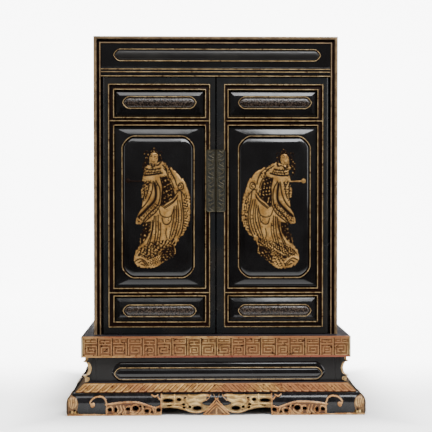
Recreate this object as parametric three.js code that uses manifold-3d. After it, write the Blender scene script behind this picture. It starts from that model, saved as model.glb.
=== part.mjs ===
import * as THREE from 'three';
import { mergeVertices } from 'three/addons/utils/BufferGeometryUtils.js';
import Module from 'manifold-3d';

// A lacquered altar: a cabinet with two doors on a stepped and carved stand.
// Millimetres. +Z is up, the front faces -Y, the origin is on the floor under the middle.

// Joinery
const fitGap = 0.3;
const lineWidth = 1.8;
const lineHeight = 0.8;

// Cabinet
const cabinetWidth = 408;
const cabinetDepth = 280;
const cabinetHeight = 498.2;
const wallThickness = 12.5;
const stripWidth = 5.2;
const grooveWidth = 4.3;
const grooveDepth = 4.5;
const backThickness = 8;
const floorThickness = 10;
const floorSetback = 2;
const friezeHeight = 39.6;
const friezeThickness = 12;
const friezeSetback = 3;
const friezeFieldSlope = 15;
const friezeFieldRise = 2;
const friezeCapsuleHeight = 20.8;
const friezeCapsuleRaise = 1.5;
const friezeCapsuleShift = 2;
const lintelHeight = 15.2;
const lintelThickness = 26;
const lintelSetback = 2;
const lintelLineInset = 1.8;
const lintelLineStep = 4.6;

// Margins by which the deck stands out from the cabinet, and the aprons from the deck
const deckMarginX = 19.5;
const deckMarginY = 20;
const standMarginX = 21.5;
const standMarginY = 25;

// Aprons, the carved boards that the stand rests on
const apronHeight = 36;
const apronThickness = 20;
const apronLean = 12;
const shoulderHeight = 16;
const footTuck = 1.5;
const footTuckHeight = 6;
const legLength = 65;
const carvingRelief = 1.6;
const footRim = 2.2;
const scrollWidth = 2.4;

// Tread board with its edge of leaning lappets
const treadThickness = 14;
const treadSlope = 13.4;
const lappetPitch = 13;
const lappetWidth = 8.6;
const lappetLean = 11;
const lappetRelief = 1.4;

// Waist
const waistHeight = 41.7;
const waistFieldRise = 2.6;
const waistFieldEdge = 5;
const waistCapsuleHeight = 21;
const waistCapsuleInset = 26;
const waistCapsuleDrop = 7.2;
const waistCapsuleShift = 4;
const postSize = 20.5;
const postHollow = 8;
const postNeck = 3;
const postTip = 1.5;
const postTopTip = 6.3;
const postLowTip = 10.4;

// Deck with its fret edge
const deckThickness = 35.1;
const deckOverhang = 3.2;
const deckRim = 3;
const fretSink = 2;
const fretRelief = 1.3;
const fretPitch = 24.4;
const fretBar = 2.2;

// Doors
const doorThickness = 16;
const doorSetback = 1.5;
const doorSideGap = 0.9;
const doorMeetingGap = 1.5;
const doorEndGap = 1.1;
const hingeRadius = 8.6;
const pinRadius = 3;
const pinLength = 7;
const pinClearance = 0.4;
const frameMargin = 11.2;
const coveWidth = 9.6;
const coveDepth = 1.6;
const railWidth = 14;
const railLineOffset = 6.1;
const upperPanelHeight = 45.5;
const lowerPanelHeight = 42.4;
const panelThickness = 9;
const panelSink = 3;
const smallFieldRise = 2.6;
const smallFieldSlope = 9;
const smallCapsuleHeight = 21;
const smallCapsuleInset = 12.3;
const upperCapsuleRaise = 1.5;
const lowerCapsuleRaise = -3;
const mainFieldRise = 3;
const mainFieldSlopeX = 13.2;
const mainFieldSlopeZ = 16.3;
const mainFieldCorner = 17;
const pillowGroove = 3;
const pillowBevel = 9;
const pillowRise = 3;
const figureHeight = 195;
const figureRelief = 3.2;
const plateWidth = 15.8;
const plateHeight = 104;
const plateThickness = 1.6;
const plateCentreRise = 42;

// Smoothness of round work
const arcSteps = 3;
const cornerSteps = 2;
const cornerBluntness = 1.3;
const shoulderSteps = 2;
const pinSides = 12;

// Deck and stand follow the cabinet
const deckWidth = cabinetWidth + deckMarginX * 2;
const deckDepth = cabinetDepth + deckMarginY * 2;
const standWidth = deckWidth + standMarginX * 2;
const standDepth = deckDepth + standMarginY * 2;

// Levels from the floor up
const treadBottom = apronHeight + fitGap;
const treadTop = apronHeight + treadThickness;
const waistTop = treadTop + waistHeight;
const deckTop = waistTop + deckThickness;
const cabinetTop = deckTop + cabinetHeight;
const friezeTop = cabinetTop - wallThickness;
const lintelTop = friezeTop - friezeHeight;
const lintelBottom = lintelTop - lintelHeight;
const doorTop = lintelBottom - doorEndGap;
const doorBottom = deckTop + doorEndGap;

// The waist boards stand level with the posts' deepest hollow, and end behind with the posts
const waistSetback = postHollow;
const waistBoardThickness = postSize - waistSetback;

// Planes and axes of the cabinet
const cabinetFront = -cabinetDepth / 2;
const wallInside = cabinetWidth / 2 - wallThickness;
const doorFront = cabinetFront + doorSetback;
const hingeX = -(wallInside - doorSideGap - hingeRadius);
const hingeY = doorFront + doorThickness / 2;
const doorOuterEdge = hingeX - hingeRadius;
const doorInnerEdge = -doorMeetingGap / 2;

// Finishes
const finish = (color, roughness, metalness) =>
  new THREE.MeshStandardMaterial({ color, roughness, metalness, flatShading: true });
const blackLacquer = finish('#15120f', 0.22, 0);
const gilding = finish('#b8924f', 0.42, 0.7);
const fretGilding = finish('#a5713c', 0.5, 0.5);
const redLacquer = finish('#5b1a12', 0.45, 0);
const bronze = finish('#4b4636', 0.5, 0.8);

const wasm = await Module();
wasm.setup();

// Turns a closed geometry into a solid that can be joined and cut
function solidOf(geometry) {
  const bare = geometry.clone();
  bare.deleteAttribute('normal');
  bare.deleteAttribute('uv');
  const merged = mergeVertices(bare, 1e-4);
  return new wasm.Manifold(new wasm.Mesh({
    numProp: 3,
    vertProperties: new Float32Array(merged.attributes.position.array),
    triVerts: new Uint32Array(merged.index.array),
  }));
}

// Turns a solid back into a geometry for a mesh
function geometryOf(solid) {
  const mesh = solid.getMesh();
  const geometry = new THREE.BufferGeometry();
  geometry.setAttribute('position', new THREE.BufferAttribute(mesh.vertProperties, 3));
  geometry.setIndex(new THREE.BufferAttribute(mesh.triVerts, 1));
  geometry.computeVertexNormals();
  return geometry;
}

const join = (solids) => solids.reduce((whole, next) => whole.add(next));
const cut = (solid, cutters) => cutters.reduce((left, cutter) => left.subtract(cutter), solid);

function mesh(name, solid, material) {
  const piece = new THREE.Mesh(geometryOf(solid), material);
  piece.name = name;
  return piece;
}

const outline = (points) => new THREE.Shape(points.map(([x, y]) => new THREE.Vector2(x, y)));

function extruded(shape, depth, bevel = {}) {
  return new THREE.ExtrudeGeometry(shape, {
    depth, bevelEnabled: false, ...bevel,
  });
}

// Prisms: the shape lies in the plan, in the front elevation or in the side section
const planPrism = (shape, low, high) => solidOf(extruded(shape, high - low).translate(0, 0, low));
const frontPrism = (shape, front, back, bevel) =>
  solidOf(extruded(shape, back - front, bevel).rotateX(Math.PI / 2).translate(0, back, 0));
const sectionPrism = (shape, left, right) => solidOf(
  extruded(shape, right - left).rotateX(Math.PI / 2).rotateZ(Math.PI / 2).translate(left, 0, 0));

const rectangle = (left, right, low, high) =>
  outline([[left, low], [right, low], [right, high], [left, high]]);
const block = (left, right, front, back, low, high) =>
  planPrism(rectangle(left, right, front, back), low, high);

// Pulls a point of a round corner in towards the chamfer
const blunted = (share) => Math.sign(share) * Math.abs(share) ** cornerBluntness;

// A rectangle with blunt round corners; a radius of half the height gives a capsule
function roundRectangle(left, right, low, high, radius) {
  const corners = [[right - radius, high - radius], [left + radius, high - radius],
    [left + radius, low + radius], [right - radius, low + radius]];
  return outline(corners.flatMap(([x, z], corner) =>
    Array.from({ length: cornerSteps + 1 }, (_, step) => {
      const angle = (corner + step / cornerSteps) * (Math.PI / 2);
      return [x + radius * blunted(Math.cos(angle)), z + radius * blunted(Math.sin(angle))];
    })));
}

function ringOf(outer, inner) {
  const shape = outer.clone();
  shape.holes.push(inner);
  return shape;
}

// A raised line that runs around a rectangle, outside it by the line's width
function rectangleLine(left, right, low, high, front, back) {
  const inner = rectangle(left, right, low, high);
  const outer = rectangle(left - lineWidth, right + lineWidth, low - lineWidth, high + lineWidth);
  return frontPrism(ringOf(outer, inner), front, back);
}

// A field raised from a board: slopes with mitred corners up to a flat top
function raisedField({ left, right, low, high, base, top, slopeX, slopeZ, back }) {
  const across = outline([[left, back], [left, base], [left + slopeX, top],
    [right - slopeX, top], [right, base], [right, back]]);
  const upright = outline([[back, low], [back, high], [base, high],
    [top, high - slopeZ], [top, low + slopeZ], [base, low]]);
  return planPrism(across, low, high).intersect(sectionPrism(upright, left, right));
}

// A capsule on a field: a raised line with a half-round bar inside it
function capsule({ left, right, middle, height, face, back }) {
  const half = height / 2;
  const inner = half - lineWidth;
  const line = ringOf(roundRectangle(left, right, middle - half, middle + half, half),
    roundRectangle(left + lineWidth, right - lineWidth, middle - inner, middle + inner, inner));
  const barHalf = inner - lineWidth;
  const bevel = barHalf * 0.6;
  const core = barHalf - bevel;
  const inset = lineWidth * 2 + bevel;
  const barShape = roundRectangle(left + inset, right - inset, middle - core, middle + core, core);
  const bar = frontPrism(barShape, face, back, {
    bevelEnabled: true, bevelSize: bevel, bevelThickness: bevel / 2, bevelSegments: 1,
  });
  return frontPrism(line, face - lineHeight, back).add(bar);
}

// A ribbon along a curve through the points, as wide as widthAt says from 0 to 1
function ribbon(points, steps, widthAt) {
  const curve = new THREE.SplineCurve(points.map(([x, y]) => new THREE.Vector2(x, y)));
  const near = [];
  const far = [];
  for (let step = 0; step <= steps; step += 1) {
    const share = step / steps;
    const point = curve.getPoint(share);
    const side = curve.getTangent(share).multiplyScalar(widthAt(share) / 2);
    near.push([point.x - side.y, point.y + side.x]);
    far.unshift([point.x + side.y, point.y - side.x]);
  }
  return outline([...near, ...far]);
}

// Stand: aprons

// Section of an apron, its outer face standing out to the reach given
function apronSection(reach) {
  const points = [[-reach + apronThickness, 0], [-reach + footTuck, 0], [-reach, footTuckHeight]];
  const shoulderLow = apronHeight - shoulderHeight;
  for (let step = 0; step <= shoulderSteps; step += 1) {
    const turn = (step / shoulderSteps) * (Math.PI / 2);
    points.push([-reach + apronLean * (1 - Math.cos(turn)),
      shoulderLow + shoulderHeight * Math.sin(turn)]);
  }
  points.push([-reach + apronThickness, apronHeight]);
  return outline(points);
}

// Half of an apron is a leg and two bays: a lobed arch, then pierced work beside the leg
const apronPlan = (half) => ({ half, bay: (half - legLength) / 2 });

// Front view of the board: legs and openwork reach the floor, the middle is a lobed arch
function apronElevation({ half, bay }) {
  const stepHeight = apronHeight * 0.35;
  const lobe = [[1, 0], [1, stepHeight], [0.73, stepHeight], [0.59, stepHeight * 0.72],
    [0.46, stepHeight * 0.4], [0.26, stepHeight * 0.34], [0.22, stepHeight * 0.12], [0.13, 0]];
  const right = lobe.map(([share, z]) => [share * bay, z]);
  const left = right.map(([x, z]) => [-x, z]);
  return outline([[half, 0], [half, apronHeight], [-half, apronHeight], [-half, 0],
    ...left, ...right.reverse()]);
}

// Pierced cells, in shares of a bay (across) and of the apron's height (up)
const openworkCells = [
  { at: [1.84, 0.22], size: [0.09, 0.12] }, { at: [1.6, 0.24], size: [0.09, 0.14] },
  { at: [1.36, 0.24], size: [0.09, 0.14] }, { at: [1.13, 0.22], size: [0.07, 0.12] },
];
const middleCells = [
  { at: [0.87, 0.66], size: [0.1, 0.1] }, { at: [0.35, 0.36], size: [0.1, 0.09] },
];

// A small pierced cell, a leaning diamond
function cellOutline([x, z], [halfWidth, halfHeight]) {
  return outline([[x - halfWidth, z - halfHeight * 0.3], [x + halfWidth * 0.2, z - halfHeight],
    [x + halfWidth, z + halfHeight * 0.3], [x - halfWidth * 0.2, z + halfHeight]]);
}

// Raised carving on one half of an apron; side is 1 or -1, and the front has a richer middle
function apronCarving({ half, bay }, side, rich) {
  const at = ([share, height]) => [side * share * bay, height * apronHeight];
  const fromLeg = ([x, height]) => [side * (half - x), height * apronHeight];
  const even = () => scrollWidth;
  const scroll = [[legLength, 0.03], [legLength, 0.4], [legLength - 4, 0.72], [legLength - 12, 0.87],
    [legLength - 20, 0.74], [legLength - 22, 0.52], [legLength - 17, 0.42]].map(fromLeg);
  const swell = (share) => scrollWidth * (0.9 + 1.6 * share * share);
  const rim = [[2, footRim / 2 / apronHeight], [legLength - 1, footRim / 2 / apronHeight]];
  const mask = [[1, 0.08], [16, 0.1], [21, 0.5], [15, 0.82], [1, 0.86]];
  const arch = [[2, 0.5], [1.62, 0.53], [1.3, 0.5], [1.08, 0.4], [1.01, 0.05]];
  const post = [[1, 0.36], [1.02, 0.94]];
  const sill = [[1.02, 0.42], [0.76, 0.46], [0.58, 0.33], [0.42, 0.16], [0.24, 0.16]];
  const leaf = [[0.72, 0.9], [0.7, 0.66], [0.56, 0.42], [0.36, 0.55], [0.22, 0.66], [0.3, 0.88],
    [0.46, 0.8]];
  const petal = [[0.02, 0.62], [0.1, 0.5], [0.22, 0.42]];
  const everywhere = [
    ribbon(scroll, 7, swell),
    ribbon(rim.map(fromLeg), 1, () => footRim),
    outline(mask.map(fromLeg)),
    ribbon(arch.map(at), 4, even),
    outline(leaf.map(at)),
  ];
  if (!rich) return everywhere;
  return [...everywhere, ribbon(post.map(at), 1, even), ribbon(sill.map(at), 3, even),
    ribbon(petal.map(at), 2, even)];
}

// An apron board with mitred ends: plain at the back, carved at the sides, richest in front
function apron(half, reach, carving) {
  const plan = apronPlan(half);
  const back = -reach + apronThickness;
  const inside = half - apronThickness;
  const mitre = outline([[-half + fitGap, -reach], [half - fitGap, -reach],
    [inside - fitGap, back], [-inside + fitGap, back]]);
  const mitred = planPrism(mitre, 0, apronHeight);
  const view = frontPrism(apronElevation(plan), -reach, back);
  const proud = sectionPrism(apronSection(reach), -half, half);
  if (carving === 'plain') return proud.intersect(mitred).intersect(view);
  const rich = carving === 'rich';
  const board = sectionPrism(apronSection(reach - carvingRelief), -half, half);
  const keel = outline([[-0.24, 0.01], [0.24, 0.01], [0, 0.58]]
    .map(([share, height]) => [share * plan.bay, height * apronHeight]));
  const carvings = [keel, ...[1, -1].flatMap((side) => apronCarving(plan, side, rich))];
  const raised = join(carvings.map((shape) =>
    frontPrism(shape, -reach, -reach + (apronThickness + apronLean) / 2)));
  const cells = rich ? [...openworkCells, ...middleCells] : openworkCells;
  const holes = [1, -1].flatMap((side) => cells.map(({ at, size }) => frontPrism(
    cellOutline([side * at[0] * plan.bay, at[1] * apronHeight],
      [size[0] * plan.bay, size[1] * apronHeight]), -reach, back)));
  return cut(board.add(proud.intersect(raised)).intersect(mitred).intersect(view), holes);
}

function turned(piece, quarterTurns) {
  piece.rotation.z = quarterTurns * (Math.PI / 2);
  return piece;
}

function aprons() {
  const frontHalf = standWidth / 2;
  const sideHalf = standDepth / 2;
  return [
    mesh('front_apron', apron(frontHalf, sideHalf, 'rich'), gilding),
    turned(mesh('right_apron', apron(sideHalf, frontHalf, 'carved'), gilding), 1),
    turned(mesh('back_apron', apron(frontHalf, sideHalf, 'plain'), blackLacquer), 2),
    turned(mesh('left_apron', apron(sideHalf, frontHalf, 'carved'), gilding), -1),
  ];
}

// Stand: tread board

// Lappets that lean towards the middle, on a slope with its lower edge at the reach given
function lappetRow(half, reach) {
  const slopeLength = Math.hypot(treadSlope, treadThickness);
  const tilt = Math.atan2(treadThickness, treadSlope);
  const count = Math.floor((half - treadSlope) / lappetPitch);
  const row = [];
  for (let index = -count; index <= count; index += 1) {
    const middle = index * lappetPitch;
    const lean = -Math.sign(index) * lappetLean;
    const w = lappetWidth / 2;
    const shape = outline([[middle - w, slopeLength * 0.08], [middle + w, slopeLength * 0.08],
      [middle + lean + w * 0.6, slopeLength * 0.88], [middle + lean - w * 0.6, slopeLength * 0.88]]);
    const tongue = extruded(shape, lappetRelief * 2).translate(0, 0, -lappetRelief);
    row.push(tongue.rotateX(tilt).translate(0, -reach, treadBottom));
  }
  return row;
}

function treadBoard() {
  const halfWidth = standWidth / 2 - apronLean - lappetRelief;
  const halfDepth = standDepth / 2 - apronLean - lappetRelief;
  const slope = treadSlope;
  const across = outline([[-halfWidth, treadBottom], [halfWidth, treadBottom],
    [halfWidth - slope, treadTop], [-halfWidth + slope, treadTop]]);
  const along = outline([[-halfDepth, treadBottom], [halfDepth, treadBottom],
    [halfDepth - slope, treadTop], [-halfDepth + slope, treadTop]]);
  const board = frontPrism(across, -halfDepth, halfDepth)
    .intersect(sectionPrism(along, -halfWidth, halfWidth));
  const lappets = [
    ...lappetRow(halfWidth, halfDepth),
    ...lappetRow(halfDepth, halfWidth).map((tongue) => tongue.rotateZ(Math.PI / 2)),
    ...lappetRow(halfDepth, halfWidth).map((tongue) => tongue.rotateZ(-Math.PI / 2)),
  ];
  return mesh('tread_board', join([board, ...lappets.map(solidOf)]), gilding);
}

// Stand: waist

// Hollow profile of a corner post between two sharp tips, from its inner edge outwards
function postProfile(inner, tip) {
  const low = treadTop + fitGap;
  const high = waistTop - fitGap;
  const neck = tip - postNeck;
  const lowTip = low + postLowTip;
  const topTip = high - postTopTip;
  const hollowLow = lowTip + postTip;
  const hollowHigh = topTip - postTip;
  const shallow = postHollow - postNeck;
  const points = [[inner, high], [inner, low], [neck, low], [neck, lowTip - postTip], [tip, lowTip]];
  for (let step = 0; step <= arcSteps + 1; step += 1) {
    const share = step / (arcSteps + 1);
    const deep = shallow + (postHollow - shallow) * Math.sin(share * Math.PI);
    points.push([tip - deep, hollowLow + (hollowHigh - hollowLow) * share]);
  }
  points.push([tip, topTip], [neck, topTip + postTip], [neck, high]);
  return outline(points);
}

function cornerPost(name, sideX, sideY) {
  const tipX = deckWidth / 2 - deckOverhang;
  const tipY = deckDepth / 2 - deckOverhang;
  const profileX = frontPrism(postProfile(tipX - postSize, tipX), tipY - postSize, tipY);
  const profileY = sectionPrism(postProfile(tipY - postSize, tipY), tipX - postSize, tipX);
  const post = mesh(name, profileX.intersect(profileY), gilding);
  post.scale.set(sideX, sideY, 1);
  return post;
}

// A waist board; the raised field has round ends, and the capsule on it can stand off the middle
function waistBoard(half, face, shift) {
  const low = treadTop + fitGap;
  const high = waistTop - fitGap;
  const board = block(-half, half, -face, -face + waistBoardThickness, low, high);
  if (shift === undefined) return board;
  const top = -face - waistFieldRise;
  const middle = (low + high) / 2 - waistCapsuleDrop;
  const left = -half + waistCapsuleInset + shift;
  const right = half - waistCapsuleInset + shift;
  const fieldHigh = middle + waistCapsuleHeight / 2 + waistFieldEdge * 1.4;
  const field = frontPrism(roundRectangle(left - waistFieldEdge, right + waistFieldEdge, low,
    fieldHigh, (fieldHigh - low) / 2), top, -face + waistBoardThickness / 2);
  const bar = capsule({
    left, right, middle, height: waistCapsuleHeight, face: top, back: -face + waistBoardThickness / 2,
  });
  return join([board, field, bar]);
}

function waist() {
  const tipX = deckWidth / 2 - deckOverhang;
  const tipY = deckDepth / 2 - deckOverhang;
  const halfX = tipX - postSize - fitGap;
  const halfY = tipY - postSize - fitGap;
  const faceX = tipX - waistSetback;
  const faceY = tipY - waistSetback;
  return [
    mesh('waist_front', waistBoard(halfX, faceY, waistCapsuleShift), blackLacquer),
    turned(mesh('waist_right', waistBoard(halfY, faceX, 0), blackLacquer), 1),
    turned(mesh('waist_back', waistBoard(halfX, faceY), blackLacquer), 2),
    turned(mesh('waist_left', waistBoard(halfY, faceX, 0), blackLacquer), -1),
    cornerPost('front_left_post', -1, -1),
    cornerPost('front_right_post', 1, -1),
    cornerPost('back_left_post', -1, 1),
    cornerPost('back_right_post', 1, 1),
  ];
}

// Stand: deck with fret edge

// A row of square hooks, opening up and down by turns
function fretRow(half, face) {
  const low = waistTop + deckRim;
  const high = deckTop - deckRim;
  const count = Math.round((2 * half) / fretPitch);
  const pitch = (2 * half) / count;
  const row = [];
  for (let index = 0; index < count; index += 1) {
    const left = -half + index * pitch + fretBar / 2;
    const right = left + pitch - fretBar;
    const closed = index % 2 ? low + fretBar : high - fretBar;
    const open = index % 2 ? high - fretBar : low + fretBar;
    const bar = index % 2 ? fretBar : -fretBar;
    const hook = outline([[left, open], [left, closed], [right, closed], [right, closed + bar],
      [left + fretBar, closed + bar], [left + fretBar, open]]);
    row.push(extruded(hook, fretRelief * 2).rotateX(Math.PI / 2)
      .translate(0, face + fretRelief, 0));
  }
  return row;
}

function deck() {
  const halfX = deckWidth / 2;
  const halfY = deckDepth / 2;
  const low = waistTop + deckRim;
  const high = deckTop - deckRim;
  const solid = block(-halfX, halfX, -halfY, halfY, waistTop, deckTop);
  const front = block(-halfX + deckRim, halfX - deckRim, -halfY - 1, -halfY + fretSink, low, high);
  const sideSink = (left, right) =>
    block(left, right, -halfY + deckRim, halfY - deckRim, low, high);
  const sinks = [front, sideSink(-halfX - 1, -halfX + fretSink), sideSink(halfX - fretSink, halfX + 1)];
  const fret = [
    ...fretRow(halfX - deckRim, -halfY + fretSink),
    ...fretRow(halfY - deckRim, -halfX + fretSink).map((bar) => bar.rotateZ(Math.PI / 2)),
    ...fretRow(halfY - deckRim, -halfX + fretSink).map((bar) => bar.rotateZ(-Math.PI / 2)),
  ];
  const sockets = [1, -1].map((side) => pivotPin(side * hingeX, deckTop - pinLength,
    deckTop + 1, pinRadius + pinClearance));
  return mesh('fret_deck', cut(join([cut(solid, sinks), ...fret.map(solidOf)]), sockets), fretGilding);
}

function pivotPin(x, low, high, radius) {
  const pin = new THREE.CylinderGeometry(radius, radius, high - low, pinSides);
  return solidOf(pin.rotateX(Math.PI / 2).translate(x, hingeY, (low + high) / 2));
}

// Cabinet: case

// Section of the sides and the top: a round strip, a groove and a bead on the front edge
function caseSection() {
  const front = cabinetFront;
  const strip = stripWidth;
  const bead = strip + grooveWidth;
  const soft = strip * 0.18;
  return [[0, -front], [0, front + soft * 2.5], [soft, front + soft * 0.5], [strip / 2, front],
    [strip - soft, front + soft * 0.5], [strip, front + soft * 2.5],
    [strip, front + grooveDepth], [bead, front + grooveDepth],
    [bead, front + lineWidth], [(bead + wallThickness) / 2, front + lineWidth - lineHeight],
    [wallThickness, front + lineWidth], [wallThickness, -front]];
}

function sideBoard(name, side) {
  const half = cabinetWidth / 2;
  const section = caseSection().map(([inset, y]) => [-half + inset, y]);
  const low = deckTop + fitGap;
  const mitre = outline([[-half, low], [wallThickness - half, low],
    [wallThickness - half, friezeTop - fitGap * 1.4], [-half, cabinetTop - fitGap * 1.4]]);
  const board = planPrism(outline(section), low, cabinetTop)
    .intersect(frontPrism(mitre, cabinetFront, -cabinetFront));
  const piece = mesh(name, board, blackLacquer);
  piece.scale.x = side;
  return piece;
}

function topBoard() {
  const half = cabinetWidth / 2;
  const section = caseSection().map(([inset, y]) => [y, cabinetTop - inset]);
  const mitre = outline([[-half, cabinetTop], [half, cabinetTop],
    [half - wallThickness, friezeTop], [wallThickness - half, friezeTop]]);
  const board = sectionPrism(outline(section), -half, half)
    .intersect(frontPrism(mitre, cabinetFront, -cabinetFront));
  return mesh('top_board', board, blackLacquer);
}

function frieze() {
  const half = wallInside - fitGap;
  const low = lintelTop + fitGap;
  const high = friezeTop - fitGap;
  const base = cabinetFront + friezeSetback;
  const top = base - friezeFieldRise;
  const back = base + friezeThickness;
  const field = raisedField({
    left: -half, right: half, low, high, base, top, back,
    slopeX: friezeFieldSlope, slopeZ: (high - low - friezeCapsuleHeight) / 2 - lineWidth,
  });
  const bar = capsule({
    left: -half + friezeFieldSlope + lineWidth + friezeCapsuleShift,
    right: half - friezeFieldSlope - lineWidth + friezeCapsuleShift,
    middle: (low + high) / 2 + friezeCapsuleRaise,
    height: friezeCapsuleHeight, face: top, back: base + friezeThickness / 2,
  });
  return mesh('frieze_panel', field.add(bar), blackLacquer);
}

function lintel() {
  const half = wallInside - fitGap;
  const face = cabinetFront + lintelSetback;
  const beam = block(-half, half, face, face + lintelThickness, lintelBottom, lintelTop);
  const heights = [lintelLineInset, lintelLineInset + lintelLineStep,
    lintelHeight - lintelLineInset].map((drop) => lintelTop - drop);
  const beads = heights.map((z) => block(-half, half, face - lineHeight,
    face + lintelThickness / 2, z - lineWidth / 2, z + lineWidth / 2));
  const sockets = [1, -1].map((side) => pivotPin(side * hingeX, lintelBottom - 1,
    lintelBottom + pinLength, pinRadius + pinClearance));
  return mesh('lintel', cut(join([beam, ...beads]), sockets), blackLacquer);
}

function cabinetCase() {
  const half = wallInside - fitGap;
  const backFace = -cabinetFront;
  const back = block(-half, half, backFace - backThickness, backFace,
    deckTop + fitGap, friezeTop - fitGap);
  const floorFront = doorFront + doorThickness + floorSetback;
  const floorBack = backFace - backThickness - fitGap;
  const floor = block(-half, half, floorFront, floorBack, deckTop + fitGap, deckTop + floorThickness);
  return [
    sideBoard('left_side', 1),
    sideBoard('right_side', -1),
    topBoard(),
    mesh('back_board', back, blackLacquer),
    mesh('floor_board', floor, redLacquer),
    frieze(),
    lintel(),
  ];
}

// Doors: every piece is drawn as on the left door, and the right door mirrors it

// The three openings of a door frame, from the top down
function doorBays() {
  const inset = frameMargin + coveWidth;
  const left = doorOuterEdge + inset;
  const right = doorInnerEdge - inset;
  const high = doorTop - inset;
  const low = doorBottom + inset;
  const upperLow = high - upperPanelHeight;
  const lowerHigh = low + lowerPanelHeight;
  return {
    upper: { left, right, low: upperLow, high },
    main: { left, right, low: lowerHigh + railWidth, high: upperLow - railWidth },
    lower: { left, right, low, high: lowerHigh },
  };
}

// Plan of the door: square at the meeting edge, round about the pivot at the hinge edge
function doorPlan() {
  const half = doorThickness / 2;
  const spread = Math.asin(half / hingeRadius);
  const points = [[doorInnerEdge, doorFront], [doorInnerEdge, doorFront + doorThickness]];
  const steps = arcSteps * 2;
  for (let step = 0; step <= steps; step += 1) {
    const angle = Math.PI - spread + (2 * spread * step) / steps;
    points.push([hingeX + hingeRadius * Math.cos(angle), hingeY + hingeRadius * Math.sin(angle)]);
  }
  return outline(points);
}

function doorFrame() {
  const { upper, main, lower } = doorBays();
  const bays = [upper, main, lower];
  const behind = doorFront + doorThickness;
  const slab = planPrism(doorPlan(), doorBottom, doorTop);
  const edge = {
    left: doorOuterEdge + frameMargin, right: doorInnerEdge - frameMargin,
    low: doorBottom + frameMargin, high: doorTop - frameMargin,
  };
  const inset = lineWidth / 2;
  const cove = frontPrism(rectangle(edge.left + inset, edge.right - inset,
    edge.low + inset, edge.high - inset), doorFront - 1, doorFront + coveDepth);
  const openings = bays.map(({ left, right, low, high }) =>
    frontPrism(rectangle(left, right, low, high), doorFront - 1, behind + 1));
  const outerLine = rectangleLine(edge.left + inset, edge.right - inset,
    edge.low + inset, edge.high - inset, doorFront - lineHeight, doorFront + doorThickness / 2);
  const innerLines = bays.map(({ left, right, low, high }) =>
    rectangleLine(left, right, low, high, doorFront - lineHeight, doorFront + doorThickness / 2));
  const railLines = [upper.low - railLineOffset, lower.high + railLineOffset].map((z) =>
    block(edge.left, edge.right, doorFront - lineHeight, doorFront + doorThickness / 2,
      z - inset, z + inset));
  const pins = [pivotPin(hingeX, doorBottom - pinLength + doorEndGap + pinClearance,
    doorBottom + pinLength, pinRadius),
  pivotPin(hingeX, doorTop - pinLength, doorTop + pinLength - doorEndGap - pinClearance, pinRadius)];
  const body = cut(slab, [cove, ...openings]);
  return join([body, outerLine, ...innerLines, ...railLines, ...pins]);
}

function fitted({ left, right, low, high }) {
  return { left: left + fitGap, right: right - fitGap, low: low + fitGap, high: high - fitGap };
}

function smallPanel(bay, raise) {
  const size = fitted(bay);
  const base = doorFront + panelSink;
  const top = base - smallFieldRise;
  const back = base + panelThickness;
  const field = raisedField({
    ...size, base, top, back, slopeX: smallFieldSlope, slopeZ: smallFieldSlope,
  });
  const bar = capsule({
    left: size.left + smallCapsuleInset, right: size.right - smallCapsuleInset,
    middle: (size.low + size.high) / 2 + raise, height: smallCapsuleHeight,
    face: top, back: base + panelThickness / 2,
  });
  return field.add(bar);
}

function mainPanel(bay) {
  const size = fitted(bay);
  const base = doorFront + panelSink;
  const top = base - mainFieldRise;
  const back = base + panelThickness;
  const field = raisedField({
    ...size, base, top, back, slopeX: mainFieldSlopeX, slopeZ: mainFieldSlopeZ,
  });
  const round = (inset, radius) => roundRectangle(size.left + mainFieldSlopeX + inset,
    size.right - mainFieldSlopeX - inset, size.low + mainFieldSlopeZ + inset,
    size.high - mainFieldSlopeZ - inset, radius);
  const line = frontPrism(ringOf(round(0, mainFieldCorner),
    round(lineWidth, mainFieldCorner - lineWidth)), top - lineHeight, top + 1);
  const grooveEdge = lineWidth + pillowGroove;
  const groove = frontPrism(ringOf(round(lineWidth, mainFieldCorner - lineWidth),
    round(grooveEdge, mainFieldCorner - grooveEdge)), top - 1, top + pillowRise / 2);
  const inner = grooveEdge + pillowBevel;
  const pillow = frontPrism(round(inner, Math.max(mainFieldCorner - inner, 1)), top, top + 1, {
    bevelEnabled: true, bevelSize: pillowBevel, bevelThickness: pillowRise, bevelSegments: 2,
  });
  const figure = reliefFigure((size.left + size.right) / 2, (size.low + size.high) / 2,
    top - pillowRise, top);
  return join([field.subtract(groove), line, pillow, ...figure]);
}

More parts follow.
